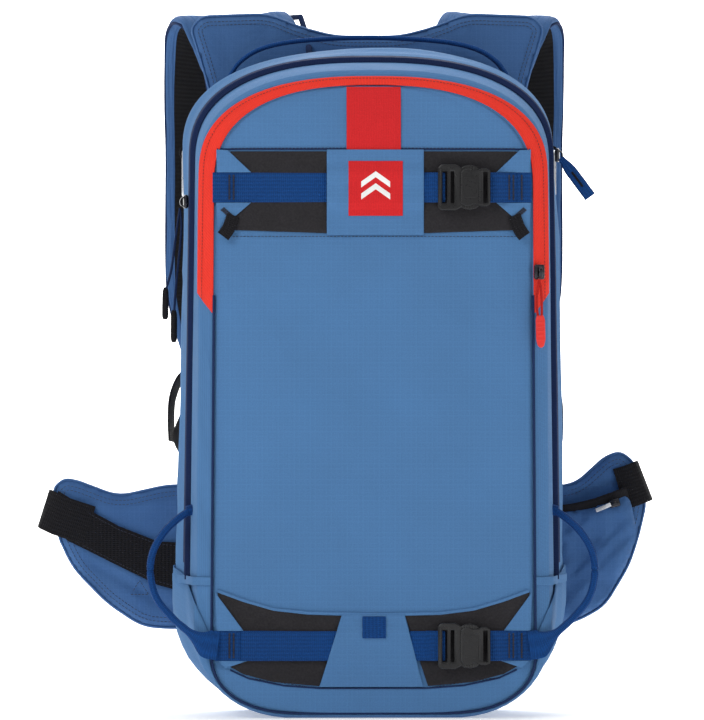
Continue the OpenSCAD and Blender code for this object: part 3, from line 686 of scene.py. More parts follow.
# Corner tabs: folded triangles of body cloth that take the straps' pull
tabs = []
for outline in (
    [(0.1015, 0.4525), (0.1300, 0.4525), (0.1305, 0.4715), (0.1210, 0.4710)],
    [(0.1015, 0.4275), (0.1290, 0.4040), (0.1305, 0.4275)],
    [(0.1080, 0.0725), (0.1300, 0.0725), (0.1312, 0.1040)],
    [(0.1050, 0.0475), (0.1230, 0.0415), (0.1290, 0.0475)],
):
    tabs.append(trim("a", outline, 0.0020, 0.0011, ripstop, "shell_fabric", "bag"))
    tabs.append(trim("a", mirrored(outline), 0.0020, 0.0011, ripstop, "shell_fabric", "bag"))
finish_piece(join(tabs, "corner_tab_cloth"), "shell_fabric", "bag", "corner_tabs")
# Bartacks: dense dark thread across each upper tab's tip
runs = []
for s in (1, -1):
    for k in range(5):
        a = Vector((s * (0.1165 + k * 0.0006), 0, 0.4165 - k * 0.0005))
        b = Vector((s * (0.1245 + k * 0.0006), 0, 0.4235 - k * 0.0005))
        for p in (a, b):
            p.y = front_y(p.x, p.z) - 0.0034
        runs.append([a, b])
stitches("corner_bartacks", runs, thread_dark, "bag", "zip_tape", length=0.0016, gap=0.0002, thick=0.0007)
# Stubs of folded black elastic under the lower tabs
for s, side in ((1, "right"), (-1, "left")):
    stub = [
        Vector((s * 0.1165, front_y(s * 0.1165, 0.412) - 0.0028, 0.4165)), Vector((s * 0.1205, -0.0985, 0.406)),
        Vector((s * 0.1250, -0.0985, 0.3995)),
    ]
    finish_piece(
        sweep(f"elastic_stub_{side}", curve(stub, 5), flat(0.011, 0.0034, 4), webbing_black, Vector((1, 0, s))),
        "black_webbing", "bag",
    )


# Patches of body cloth that bridge the straps, sewn down above and below them
def over_strap(middle, half=0.0165):
    """Height of a patch that rises over the strap below it."""
    def rise(x, z):
        f = max(0.0, 1 - max(0.0, abs(z - middle) - half + 0.004) / 0.007)
        return 0.0014 + 0.0029 * f * f * (3 - 2 * f)
    return rise


trim(
    "centre_patch_cloth", [(-0.0390, 0.4005), (0.0415, 0.4005), (0.0415, 0.4715), (-0.0390, 0.4715)],
    over_strap(STRAPS[1]), 0.0010, ripstop, "shell_fabric", "bag", "centre_patch", cell=0.003,
)
trim(
    "lower_patch_cloth", [(-0.0450, 0.0260), (0.0410, 0.0260), (0.0255, 0.0860), (-0.0265, 0.0860)],
    over_strap(STRAPS[0]), 0.0010, ripstop, "shell_fabric", "bag", "lower_patch", cell=0.003,
)
# Heat pressed label in red twill, with a plain double chevron in white
on_patch = over_strap(STRAPS[1])
trim(
    "label", [(-0.0210, 0.4165), (0.0240, 0.4165), (0.0240, 0.4620), (-0.0210, 0.4620)], lambda x,
    z: on_patch(x, z) + 0.0010, 0.0005, twill_red, "red_fabric", "bag", cell=0.003,
)
print_white = solid("heat transfer print, white", "#f2f2f0", 0.45, grain=900.0, depth=0.05, edge_highlight=0.0, vary=0.03)
marks = []
for z in (0.4300, 0.4400):
    mark = [
        (-0.0105, z), (0.0015, z + 0.0085), (0.0135, z), (0.0135, z + 0.0050), (0.0015, z + 0.0135),
        (-0.0105, z + 0.0050),
    ]
    marks.append(
        trim(
            "a", mark, lambda x, z: on_patch(x, z) + 0.0015, 0.0002, print_white, "red_fabric", "bag",
            cell=0.004,
        )
    )
finish_piece(join(marks, "label_mark"), "red_fabric", "bag")
# Folded webbing tab over the lower patch
trim(
    "lower_tab_web", [(-0.0095, 0.0665), (0.0100, 0.0665), (0.0100, 0.0845), (-0.0095, 0.0845)], lambda x,
    z: over_strap(STRAPS[0])(x, z) + 0.0010, 0.0016, webbing_navy, "navy_webbing", "bag", "lower_tab",
    cell=0.004,
)


# Seams of the front: the hem above the lower insets and the two lines that
# hold the insets, in dark thread
def along_panel(outline, lift, per=10):
    """A line that follows the stuffed panel through the given corners."""
    run = []
    for (x0, z0), (x1, z1) in zip(outline, outline[1:]):
        for k in range(per):
            x, z = x0 + (x1 - x0) * k / per, z0 + (z1 - z0) * k / per
            run.append(Vector((x, front_y(x, z) - lift, z)))
    x, z = outline[-1]
    return run + [Vector((x, front_y(x, z) - lift, z))]


hem_line = [
    (-0.129, 0.1065), (-0.107, 0.0985), (-0.083, 0.0915), (-0.055, 0.0885), (0.0, 0.0872), (0.055, 0.0880),
    (0.083, 0.0915), (0.107, 0.0985), (0.129, 0.1065),
]
stitches("front_stitches", [
    along_panel(hem_line, 0.0008),
    along_panel([(-0.118, 0.4725), (-0.03, 0.4728), (-0.0225, 0.4728)], 0.0006),
    along_panel([(0.0225, 0.4728), (0.118, 0.4725)], 0.0006),
    along_panel([(-0.120, 0.3995), (0.120, 0.3995)], 0.0006),
    along_panel([(-0.104, 0.0335), (-0.045, 0.0245), (0.041, 0.0245), (0.104, 0.0335)], 0.0006),
], thread_dark, "bag", "zip_tape", length=0.0019, gap=0.0011, thick=0.00045)
# The hem itself: the panel's folded lower edge stands a little proud
hem_edge = [(x, z - 0.0012) for x, z in hem_line]
finish_piece(
    sweep("panel_hem", along_panel(hem_edge, 0.0010, 6), flat(0.0030, 0.0016, 3), ripstop, Vector((0, 0, 1))),
    "shell_fabric", "bag",
)
seam_top = along_panel([(-0.130, 0.4718), (-0.0225, 0.4718)], 0.0004, 12)
finish_piece(sweep("top_seam_left", seam_top, circle(0.0007, 6), piping), "zip_tape", "bag")
finish_piece(
    sweep(
        "top_seam_right", along_panel([(0.0225, 0.4718), (0.130, 0.4718)], 0.0004, 12), circle(0.0007, 6),
        piping,
    ),
    "zip_tape", "bag",
)
finish_piece(
    sweep(
        "low_seam",
        along_panel(
            [
                (-0.119, 0.0400), (-0.104, 0.0330), (-0.075, 0.0270), (-0.045, 0.0248), (0.045, 0.0248),
                (0.075, 0.0270), (0.104, 0.0330), (0.119, 0.0400),
            ],
            0.0004, 6,
        ),
        circle(0.0007, 6), piping,
    ),
    "zip_tape", "bag",
)

# ---- Compression straps and their buckles ----
# 25 mm polypropylene webbing sewn under the corner tabs and the patches. The
# right end is fixed to the male half; the left end comes through the ladder.
def over(x, z, lift):
    """A place in front of the stuffed panel."""
    return Vector((x, front_y(x, z) - lift, z))


def strap(name, x0, x1, z, lift, width, body, *nodes, thick=0.0016, drop=None):
    """Compression webbing from x0 to x1 across the panel."""
    run = []
    for k in range(int(abs(x1 - x0) / 0.004) + 1):
        x = x0 + (x1 - x0) * k / int(abs(x1 - x0) / 0.004)
        dip = drop(x) if drop else 0.0
        run.append(over(x, z, lift + dip))
    obj = sweep(name, run, flat(width, thick), webbing_navy, Vector((0, 0, 1)))
    return finish_piece(obj, "navy_webbing", body, *nodes)


def ease(f):
    """A soft step from 0 to 1."""
    f = min(1.0, max(0.0, f))
    return f * f * (3 - 2 * f)


for level, z in (("upper", STRAPS[1]), ("lower", STRAPS[0])):
    # The left run lifts into the ladder of the male half at x 57
    def climb(x):
        return 0.0040 * ease((x - 0.040) / 0.014)
    strap(
        f"{level}_strap_web_left", -0.1335 if level == "upper" else -0.1315, 0.0585, z, 0.0022, 0.0250, "bag",
        f"{level}_strap_left", drop=climb,
    )
    # The tail doubles back under the ladder bar and lies on the first run
    def settle(x):
        return 0.0040 * ease((x - 0.046) / 0.012)
    strap(
        f"{level}_strap_tail", 0.012 if level == "upper" else -0.110, 0.0590, z, 0.0040, 0.0244, "bag",
        drop=settle, thick=0.0014,
    )
    def rise(x):
        return 0.0040 * ease((0.112 - x) / 0.010)
    strap(
        f"{level}_strap_web_right", 0.0950, 0.1310, z, 0.0022, 0.0250, "bag", f"{level}_strap_right", drop=rise,
    )
    strap(f"{level}_strap_fold", 0.0950, 0.1180, z, 0.0038, 0.0246, "bag", drop=rise, thick=0.0014)
    # Bar stitches through all layers at both sewn ends
    bars = []
    for x in (-0.120, -0.1165, 0.1120, 0.1155, 0.1225):
        top = over(x, z, 0.0034 + (0.0015 if 0.11 < x < 0.117 else 0.0))
        bars += [[top + Vector((0, 0, 0.0105)), top - Vector((0, 0, 0.0105))]]
        bars += [[top + Vector((0.0007, 0, 0.0105)), top - Vector((-0.0007, 0, 0.0105))]]
    stitches(
        f"{level}_strap_bars", bars, thread_dark, "bag", "black_webbing", length=0.0016, gap=0.0003,
        thick=0.0007,
    )


def plate(name, outline, y0, y1, material, bevel, holes=()):
    """A moulded plate in the plane of the front, its edges rounded, with slots through it."""
    n = len(outline)
    points = [(x, y0, z) for x, z in outline] + [(x, y1, z) for x, z in outline]
    faces = [tuple(range(n)), tuple(range(2 * n - 1, n - 1, -1))]
    faces += [(k, (k + 1) % n, n + (k + 1) % n, n + k) for k in range(n)]
    obj = build(name, points, faces, [(p[0], p[2]) for p in points], material)
    for k, (x0, x1, z0, z1) in enumerate(holes):
        bpy.ops.mesh.primitive_cube_add(size=1, location=((x0 + x1) / 2, (y0 + y1) / 2, (z0 + z1) / 2))
        tool = bpy.context.object
        tool.scale = (x1 - x0, (y1 - y0) * 3, z1 - z0)
        bpy.ops.object.transform_apply(location=True, rotation=True, scale=True)
        apply_modifier(obj, "BOOLEAN", object=tool, operation="DIFFERENCE", solver="EXACT")
        bpy.data.objects.remove(tool, do_unlink=True)
    if bevel:
        apply_modifier(
            obj, "BEVEL", width=bevel, segments=3, limit_method="ANGLE", angle_limit=math.radians(40),
        )
    bpy.ops.object.shade_smooth_by_angle(angle=math.radians(45))
    return obj


def rounded(x0, x1, z0, z1, r, n=5):
    """A rectangle with rounded corners."""
    out = []
    for cx, cz, a0 in ((x1 - r, z1 - r, 0), (x0 + r, z1 - r, 90), (x0 + r, z0 + r, 180), (x1 - r, z0 + r, 270)):
        for k in range(n + 1):
            a = math.radians(a0 + 90 * k / n)
            out.append((cx + r * math.cos(a), cz + r * math.sin(a)))
    return out


def shift(outline, dx, dz):
    """An outline moved sideways and up."""
    return [(x + dx, z + dz) for x, z in outline]


# Side-release buckles: the male half has the two-slot ladder, a stop bar and
# two sprung arms with ribbed thumb pads that show at the housing's windows.
MALE = [
    (0.0, -0.0165), (0.0, 0.0165), (0.0025, 0.0190), (0.0145, 0.0190), (0.0170, 0.0178),
    (0.0200, 0.0160), (0.0200, -0.0160), (0.0170, -0.0178), (0.0145, -0.0190), (0.0025, -0.0190),
]
HOUSING = [
    (0.0185, -0.0125), (0.0185, 0.0125), (0.0215, 0.0150), (0.0255, 0.0157), (0.0285, 0.0142), (0.0330, 0.0142),
    (0.0360, 0.0157), (0.0400, 0.0157), (0.0433, 0.0140), (0.0433, -0.0140), (0.0400, -0.0157), (0.0360, -0.0157),
    (0.0330, -0.0142), (0.0285, -0.0142), (0.0255, -0.0157), (0.0215, -0.0150),
]
for level, z in (("upper", STRAPS[1]), ("lower", STRAPS[0])):
    at = 0.0530
    slots = [
        (at + 0.0035, at + 0.0075, z - 0.0133, z + 0.0133), (at + 0.0105, at + 0.0135, z - 0.0133, z + 0.0133),
    ]
    ladder = plate("a", shift(MALE, at, z), -0.1056, -0.1012, acetal, 0.0009, slots)
    bits = [ladder]
    for s in (1, -1):
        arm = [
            (0.0175, 0.0090), (0.0175, 0.0150), (0.0215, 0.0178), (0.0270, 0.0186), (0.0320, 0.0172),
            (0.0345, 0.0146), (0.0300, 0.0128), (0.0230, 0.0118),
        ]
        arm = [(x, s * y) for x, y in (arm if s > 0 else reversed(arm))]
        bits.append(plate("a", shift(arm, at, z), -0.1052, -0.1022, acetal, 0.0007))
        for k in range(4):
            rib = rounded(
                at + 0.0225 + k * 0.0022, at + 0.0235 + k * 0.0022, z + s * 0.0160 - 0.0014,
                z + s * 0.0160 + 0.0014, 0.0004, 3,
            )
            bits.append(plate("a", rib, -0.1060, -0.1048, acetal, 0.0))
    bits.append(
        plate(
            "a", rounded(at + 0.0008, at + 0.0026, z - 0.0150, z + 0.0150, 0.0006, 3), -0.1066, -0.1040, acetal,
            0.0004,
        )
    )
    finish_piece(
        join(bits, f"{level}_buckle_tongue"), "black_plastic", f"{level}_buckle", f"{level}_buckle_male",
    )

    slot = [(at + 0.0375, at + 0.0410, z - 0.0130, z + 0.0130)]
    face = plate("a", shift(HOUSING, at, z), -0.1071, -0.1056, acetal, 0.0006, slot)
    back = plate("a", shift(HOUSING, at, z), -0.1022, -0.1007, acetal, 0.0006, slot)
    side = rounded(at + 0.0350, at + 0.0433, z - 0.0138, z + 0.0138, 0.0020)
    spine = plate("a", side, -0.1058, -0.1020, acetal, 0.0, slot)
    inset = plate(
        "a", rounded(at + 0.0205, at + 0.0330, z - 0.0085, z + 0.0085, 0.0022), -0.10745, -0.1068, acetal,
        0.0003,
    )
    ribs = [
        plate(
            "a", rounded(at + 0.0195 + k * 0.0018, at + 0.0203 + k * 0.0018, z - 0.0115, z + 0.0115, 0.0004, 2),
            -0.10735, -0.1068, acetal, 0.0,
        )
        for k in (-0.2, 8.2)
    ]
    finish_piece(
        join([face, back, spine, inset, *ribs], f"{level}_buckle_socket"), "black_plastic", "bag",
        f"{level}_buckle_housing",
    )


# ---- Zip sliders and pulls ----
# Die-cast sliders with braided cord pulls
steel_dark = solid("zinc slider, black nickel", "#3a3b40", 0.3, metal=1.0, grain=300.0, depth=0.05)
cord_navy = woven("braided cord, navy", "#14284f", 0.0011, 0.0011, contrast=0.3, depth=0.8)
cord_red = woven("braided cord, red", "#c9241c", 0.0011, 0.0011, contrast=0.25, depth=0.8)
def slider(name, at, along, out, size, body, *nodes):
    """A zip slider: a domed body with a bridge for the pull, in cast metal."""
    bpy.ops.mesh.primitive_cube_add(size=1)
    obj = bpy.context.object
    obj.name = name
    obj.data.materials.append(steel_dark)
    obj.scale = (size * 0.72, size * 0.30, size)
    bpy.ops.object.transform_apply(location=True, rotation=True, scale=True)
    bpy.ops.object.mode_set(mode="EDIT")
    bpy.ops.mesh.select_all(action="SELECT")
    bpy.ops.mesh.bevel(offset=size * 0.13, segments=3, affect="EDGES")
    bpy.ops.object.mode_set(mode="OBJECT")
    bridge = sweep(
        "b",
        curve(
            [
                (0, -size * 0.12, -size * 0.36), (0, -size * 0.34, -size * 0.22),
                (0, -size * 0.36, size * 0.12), (0, -size * 0.12, size * 0.34),
            ],
            5,
        ),
        flat(size * 0.28, size * 0.10, 3), steel_dark, Vector((1, 0, 0)),
    )
    obj = join([obj, bridge], name)
    z = Vector(along).normalized()
    y = -Vector(out).normalized()
    y = (y - z * y.dot(z)).normalized()
    x = y.cross(z)
    turn = Matrix((x, y, z)).transposed().to_4x4()
    obj.data.transform(Matrix.Translation(Vector(at)) @ turn)
    bpy.ops.object.shade_smooth_by_angle(angle=math.radians(50))
    return finish_piece(obj, "metal", body, *nodes)






slider(
    "front_slider_body", (0.1374, -0.0936, 0.3700), (0, 0, 1), (0.3, -1, 0), 0.0125, "front_slider",
    "front_zip_slider",
)
slider(
    "left_slider_body", (-0.1555, -0.0400, 0.4290), (0, 0, 1), (-1, -0.15, 0), 0.0115, "left_slider",
    "main_slider_left",
)
slider(
    "right_slider_body", (0.1552, -0.0400, 0.4680), (0, 0, 1), (1, -0.15, 0), 0.0115, "right_slider",
    "main_slider_right",
)

# Front pull: a doubled red cord into a ribbed rubber grip
top = Vector((0.1372, -0.0985, 0.3640))


def strand(name, points, r, material, slot, body, *nodes):
    """One free strand of braided cord. Its moulded end is a piece of its own."""
    run = curve(points, 12)
    obj = finish_piece(sweep(name, run, circle(r, 10), material), slot, body, *nodes)
    length = sum((b - a).length for a, b in zip(run, run[1:]))
    return obj, run, length, 2 * r


for k, (s, *nodes) in enumerate(((-1, "front_zip_pull"), (1,))):
    run = [
        top, top + Vector((s * 0.0016, -0.0010, -0.010)), top + Vector((s * 0.0021, -0.0008, -0.022)),
        top + Vector((0.0007 + s * 0.0013, -0.0008, -0.034)),
    ]
    strand(f"front_pull_cord_{k}", run, 0.00105, cord_red, "red_plastic", "front_pull", *nodes)
outline = [
    (0.1350, 0.3340), (0.1408, 0.3340), (0.1420, 0.3300), (0.1424, 0.3140), (0.1412, 0.3085), (0.1386, 0.3068),
    (0.1360, 0.3085), (0.1346, 0.3140), (0.1342, 0.3300),
]
bits = [plate("a", outline, -0.1012, -0.0972, rubber_red, 0.0010)]
for k in range(5):
    z = 0.3130 + k * 0.0036
    bits.append(
        plate("a", rounded(0.1352, 0.1416, z, z + 0.0014, 0.0006, 3), -0.1017, -0.1008, rubber_red, 0.0003)
    )
finish_piece(join(bits, "front_pull_grip"), "red_plastic", "front_pull")

# Left pulls: two doubled navy cords with heat-shrunk ends, hanging free
for n, (dx, length, lean) in enumerate(((-0.0020, 0.093, -0.0120), (0.0020, 0.112, -0.0050))):
    a = Vector((-0.1602, -0.0415, 0.4235))
    for k in (-1, 1):
        run = [
            a, a + Vector((dx - 0.001, k * 0.0012, -0.020)),
            a + Vector((lean * 0.6, k * 0.0016, -length * 0.55)),
            a + Vector((lean, k * 0.0008, -length + 0.024)),
        ]
        strand(
                f"left_pull_cord_{n}_{'front' if k < 0 else 'back'}", run, 0.0010, cord_navy, "navy_webbing",
                "left_pull",
            )
    tip = [
        a + Vector((lean, 0, -length + 0.027)), a + Vector((lean * 1.02, 0, -length + 0.012)),
        a + Vector((lean * 1.03, 0, -length)),
    ]
    end = sweep(
        f"left_pull_end_{n}", curve(tip, 5), circle(0.0028, 12), webbing_black,
        sizes=[(0.6, 0.6), (0.9, 0.9)] + [(1, 1)] * 7 + [(0.95, 0.95), (0.6, 0.6)],
    )
    finish_piece(end, "navy_webbing", "left_pull", *(("main_pull_left",) if n == 0 else ()))

# Right pull: a folded navy webbing tab with a black slot, standing out
a = Vector((0.1580, -0.0440, 0.4655))
run = curve(
    [
        a, a + Vector((0.0070, -0.0008, -0.0090)), a + Vector((0.0160, -0.0012, -0.0210)),
        a + Vector((0.0245, -0.0012, -0.0325)),
    ],
    8,
)
taper = [(0.55 + 0.45 * ease(k / 10), 1.0) for k in range(len(run))]
tab = sweep("right_pull_tab", run, flat(0.0100, 0.0026, 5), webbing_navy, Vector((0.79, 0, 0.61)), taper)
slot = sweep(
    "b", [p + Vector((0, -0.0011, 0)) for p in run[10:19]], flat(0.0022, 0.0014, 3), webbing_black,
    Vector((0.79, 0, 0.61)),
)
back = sweep(
    "c", [p + Vector((0, 0.0014, 0.0)) for p in run], flat(0.0096, 0.0018, 5), webbing_navy,
    Vector((0.79, 0, 0.61)), taper,
)
finish_piece(join([tab, slot, back], "right_pull_tab"), "navy_webbing", "right_pull", "main_pull_right")

# ---- Gear loops and grab handle ----
# Tool loops at both lower sides: tubular webbing, sewn in at both seams.
route = [
    (0.1515, -0.060, 0.172), (0.163, -0.062, 0.164), (0.174, -0.064, 0.153), (0.183, -0.066, 0.137),
    (0.185, -0.068, 0.118), (0.180, -0.072, 0.099), (0.168, -0.078, 0.084), (0.156, -0.0865, 0.0735),
    (0.1445, -0.0945, 0.0650), (0.1370, -0.0972, 0.0615), (0.1290, -0.0968, 0.0602),
]
loops = []
for s in (1, -1):
    run = curve([(s * x, y, z) for x, y, z in route], 8)
    sizes = []
    for k in range(len(run)):
        close = ease((k - len(run) + 25) / 16)
        puff = 0.08 * noise.noise(Vector((s * 5, k * 0.3, 4.0)))
        sizes.append((1.0 + 2.9 * close + puff, 1.0 - 0.62 * close + puff))
    loops.append(sweep("a", run, circle(0.0031, 16), webbing_navy, Vector((0, 0.15, 1)), sizes))
    x, y, z = route[0]
    loops.append(
        sweep(
            "a", [Vector((s * (x - 0.004), y + 0.001, z + 0.001)), Vector((s * (x + 0.003), y, z - 0.001))],
            flat(0.009, 0.0072, 4), webbing_navy, Vector((0, 0.3, 1)),
        )
    )
finish_piece(join(loops, "gear_loop_webbing"), "navy_webbing", "bag", "gear_loops")
# Grab handle: flat webbing folded over a cord, an arc over the crown
half = [
    (0.1315, 0.050, 0.516), (0.124, 0.050, 0.526), (0.117, 0.050, 0.537), (0.108, 0.050, 0.549),
    (0.092, 0.050, 0.559), (0.068, 0.050, 0.565), (0.034, 0.050, 0.568), (0.0, 0.050, 0.569),
]
run = curve(half + [(-x, y, z) for x, y, z in reversed(half)][1:], 6)
handle = sweep("grab_handle_webbing", run, flat(0.0200, 0.0036, 6), webbing_navy, Vector((0, 1, 0)))
finish_piece(handle, "navy_webbing", "bag", "grab_handle")


# ---- Back, yoke and shoulder straps ----
# Padded pieces: foam between two cloths, thin at the sewn edge. Each is cut to
# its outline and filled; its cloth wrinkles towards the seam.
def off_edge(x, z, outline):
    """How far a place lies inside an outline."""
    best = 1e9
    p = Vector((x, z))
    for a, b in zip(outline, outline[1:] + outline[:1]):
        a, b = Vector(a), Vector(b)
        d = b - a
        f = min(1.0, max(0.0, (p - a).dot(d) / d.dot(d)))
        best = min(best, (a + d * f - p).length)
    return best


def dome(d, reach):
    """Share of a pad's full height at a distance from its sewn edge."""
    f = min(1.0, d / reach)
    return (1 - (1 - f) ** 2.6) ** 0.5


def soften(outline, per=5):
    """The outline with its corners rounded and its sides split."""
    p = [Vector((x, 0, z)) for x, z in outline]
    out = []
    for k, b in enumerate(p):
        a, c = p[k - 1], p[(k + 1) % len(p)]
        r = min(0.012, (b - a).length * 0.42, (c - b).length * 0.42)
        start, end = b + (a - b).normalized() * r, b + (c - b).normalized() * r
        for i in range(per + 1):
            t = i / per
            q = start.lerp(b, t).lerp(b.lerp(end, t), t)
            out.append((q.x, q.z))
    return out


def inflate(obj, sewn, pressure, travel, frames=14):
    """Fills a closed cloth with air while its seams are held, and stops each point at `travel`."""
    start = [v.co.copy() for v in obj.data.vertices]
    group = obj.vertex_groups.new(name="sewn")
    group.add(sewn, 1.0, "REPLACE")
    cloth = obj.modifiers.new("cloth", "CLOTH")
    cloth.settings.quality = 5
    cloth.settings.mass = 0.15
    cloth.settings.vertex_group_mass = "sewn"
    cloth.settings.use_pressure = True
    cloth.settings.uniform_pressure_force = pressure
    cloth.settings.shrink_min = -0.04
    cloth.settings.bending_stiffness = 0.2
    cloth.settings.effector_weights.gravity = 0.0
    cloth.point_cache.frame_start = 1
    cloth.point_cache.frame_end = frames
    for frame_now in range(1, frames + 1):
        bpy.context.scene.frame_set(frame_now)
    bpy.context.view_layer.objects.active = obj
    bpy.ops.object.modifier_apply(modifier="cloth")
    bpy.context.scene.frame_set(1)
    for v, p in zip(obj.data.vertices, start):
        step = v.co - p
        if step.length > travel:
            v.co = p + step * (travel / step.length)
    obj.vertex_groups.remove(obj.vertex_groups["sewn"])


def pad(
    name, outline, y0, y1, material, slot, body, *nodes,
    reach=0.014, cell=0.006, channels=(), wrinkle=0.0010, back=None, fill=0.7, seed=0.0, puff=0.0,
):
    """A filled pad between two depths.

    channels are (x0, z0, x1, z1, width, depth) grooves stitched into its face.
    """
    outline = soften(outline)
    middle, half = (y0 + y1) / 2, (y1 - y0) / 2
    mesh = bmesh.new()
    for side in (-1, 1):
        corners = [mesh.verts.new((x, side, z)) for x, z in outline]
        mesh.faces.new(corners if side < 0 else corners[::-1])
    xs, zs = [p[0] for p in outline], [p[1] for p in outline]
    for axis, low, high in ((0, min(xs), max(xs)), (2, min(zs), max(zs))):
        n = int((high - low) / cell)
        for k in range(1, n):
            at, normal = Vector((0, 0, 0)), Vector((0, 0, 0))
            at[axis], normal[axis] = low + (high - low) * k / n, 1.0
            bmesh.ops.bisect_plane(
                mesh, geom=mesh.verts[:] + mesh.edges[:] + mesh.faces[:], plane_co=at, plane_no=normal,
            )
    bmesh.ops.triangulate(mesh, faces=[f for f in mesh.faces if len(f.verts) > 4])
    for v in mesh.verts:
        x, z, side = v.co.x, v.co.z, v.co.y
        d = off_edge(x, z, outline)
        deep = half * dome(d, reach)
        near = math.exp(-d / 0.02)
        fold = noise.noise(Vector((x * 34 + seed, z * 34, side * 3))) * wrinkle * (0.35 + 1.3 * near)
        crease = abs(noise.noise(Vector((x * 15, z * 15 + seed, side * 5 + 2)))) * wrinkle * 1.6
        deep = max(0.0, deep * 0.94 + (fold - crease) * min(1.0, d / 0.004))
        for cx0, cz0, cx1, cz1, width, cut in channels:
            a, b, p = Vector((cx0, cz0)), Vector((cx1, cz1)), Vector((x, z))
            f = min(1.0, max(0.0, (p - a).dot(b - a) / (b - a).dot(b - a)))
            gap = (a + (b - a) * f - p).length
            deep -= cut * math.exp(-((gap / width) ** 2)) * min(1.0, deep / half)
        v.co.y = middle + side * max(0.0, min(half, deep))
    bmesh.ops.remove_doubles(mesh, verts=mesh.verts, dist=0.00005)
    layer = mesh.loops.layers.uv.new("cloth")
    for face in mesh.faces:
        for loop in face.loops:
            loop[layer].uv = (loop.vert.co.x, loop.vert.co.z)
    bmesh.ops.recalc_face_normals(mesh, faces=mesh.faces)
    data = bpy.data.meshes.new(name)
    mesh.to_mesh(data)
    mesh.free()
    data.materials.append(material)
    if back:
        data.materials.append(back)
        for polygon in data.polygons:
            polygon.material_index = 1 if polygon.normal.y > 0.25 else 0
    obj = bpy.data.objects.new(name, data)
    bpy.context.collection.objects.link(obj)
    bpy.ops.object.select_all(action="DESELECT")
    obj.select_set(True)
    bpy.context.view_layer.objects.active = obj
    if puff:
        held = []
        for v in obj.data.vertices:
            at_groove = any(
                abs((v.co.x - a) * (d - b) - (v.co.z - b) * (c - a)) / math.hypot(c - a, d - b) < width * 0.6
                for a, b, c, d, width, cut in channels
            )
            if at_groove or off_edge(v.co.x, v.co.z, outline) < 0.003:
                held.append(v.index)
        inflate(obj, held, 4.0, puff)
    bpy.ops.object.shade_smooth_by_angle(angle=math.radians(60))
    return finish_piece(obj, slot, body, *nodes)


def binding(name, outline, y, body, material, radius, slot):
    """Tape folded over a pad's edge and stitched down."""
    run = [Vector((x, y, z)) for x, z in soften(outline)]
    run.append(run[0])
    section = [(1.9 * a, b) for a, b in circle(radius, 8)]
    return finish_piece(sweep(name, run, section, material, Vector((0, 1, 0))), slot, body)


# Back panel: ripstop over foam, sewn in round the bag's back seam
o = outline_at(0.074)
edge = half_outline(o, -0.0015)
points, uvs = [], []
for w, z in edge:
    for c in range(49):
        x = w * (2 * c / 48 - 1)
        inner = 1 - (abs(2 * c / 48 - 1)) ** 6
        points.append((x, 0.0745 + 0.0050 * inner * min(1.0, z / 0.05, (0.549 - z) / 0.05 + 0.02), z))
        uvs.append((x, z))
back = build("back_panel_cloth", points, grid_faces(len(edge), 49), uvs, ripstop_shaded)
apply_modifier(back, "SOLIDIFY", thickness=0.0015, offset=1.0)
finish_piece(back, "shell_fabric", "bag", "back_panel")
run = [Vector((x, 0.0755, z)) for x, z in half_outline(o, 0.0006)]
run = [Vector((-p.x, p.y, p.z)) for p in reversed(run)][:-1] + run
finish_piece(sweep("back_piping", run, circle(0.0013), piping, Vector((0, 1, 0))), "zip_tape", "bag")

# Back pads: EVA foam under spacer mesh, four blocks with air channels between
# them and a wide lumbar pad. Their foam swells in a cloth solve.
pads = []
for name, x0, x1, z0, z1 in (
    ("low_left", -0.092, -0.012, 0.230, 0.335), ("low_right", 0.012, 0.092, 0.230, 0.335),
    ("high_left", -0.092, -0.012, 0.350, 0.455), ("high_right", 0.012, 0.092, 0.350, 0.455),
    ("lumbar", -0.105, 0.105, 0.070, 0.200),
):
    outline = rounded(x0, x1, z0, z1, 0.016, 4)
    grooves = [(x0 + 0.012, z, x1 - 0.012, z, 0.004, 0.004) for z in steps(z0, z1, 3)[1:3]]
    if name == "lumbar":
        grooves = [(-0.030, 0.082, -0.030, 0.188, 0.004, 0.004), (0.030, 0.082, 0.030, 0.188, 0.004, 0.004)]
    pads.append(
        pad(
            f"back_pad_{name}", outline, 0.0792, 0.0942, mesh_black, "back_foam", "bag",
            *(("back_pads",) if not pads else ()), channels=grooves, cell=0.0035, wrinkle=0.0006, fill=0.9,
            seed=x0 * 90, puff=0.0022,
        )
    )

# Yoke: the padded piece that joins the shoulder straps behind the neck
YOKE = [
    (-0.070, 0.470), (0.070, 0.470), (0.128, 0.500), (0.138, 0.540), (0.150, 0.578), (0.140, 0.588),
    (0.084, 0.590), (0.058, 0.579), (0.028, 0.571), (-0.028, 0.571), (-0.058, 0.579), (-0.084, 0.590),
    (-0.140, 0.588), (-0.150, 0.578), (-0.138, 0.540), (-0.128, 0.500),
]
pad(
    "yoke_cloth", YOKE, 0.0796, 0.0892, ripstop_shaded, "shell_fabric", "bag", "yoke", reach=0.010,
    channels=[(-0.06, 0.480, -0.09, 0.580, 0.0025, 0.002), (0.06, 0.480, 0.09, 0.580, 0.0025, 0.002)],
    back=mesh_black, seed=3.0,
)
binding("yoke_binding", YOKE, 0.0844, "bag", ripstop_shaded, 0.0012, "shell_fabric")

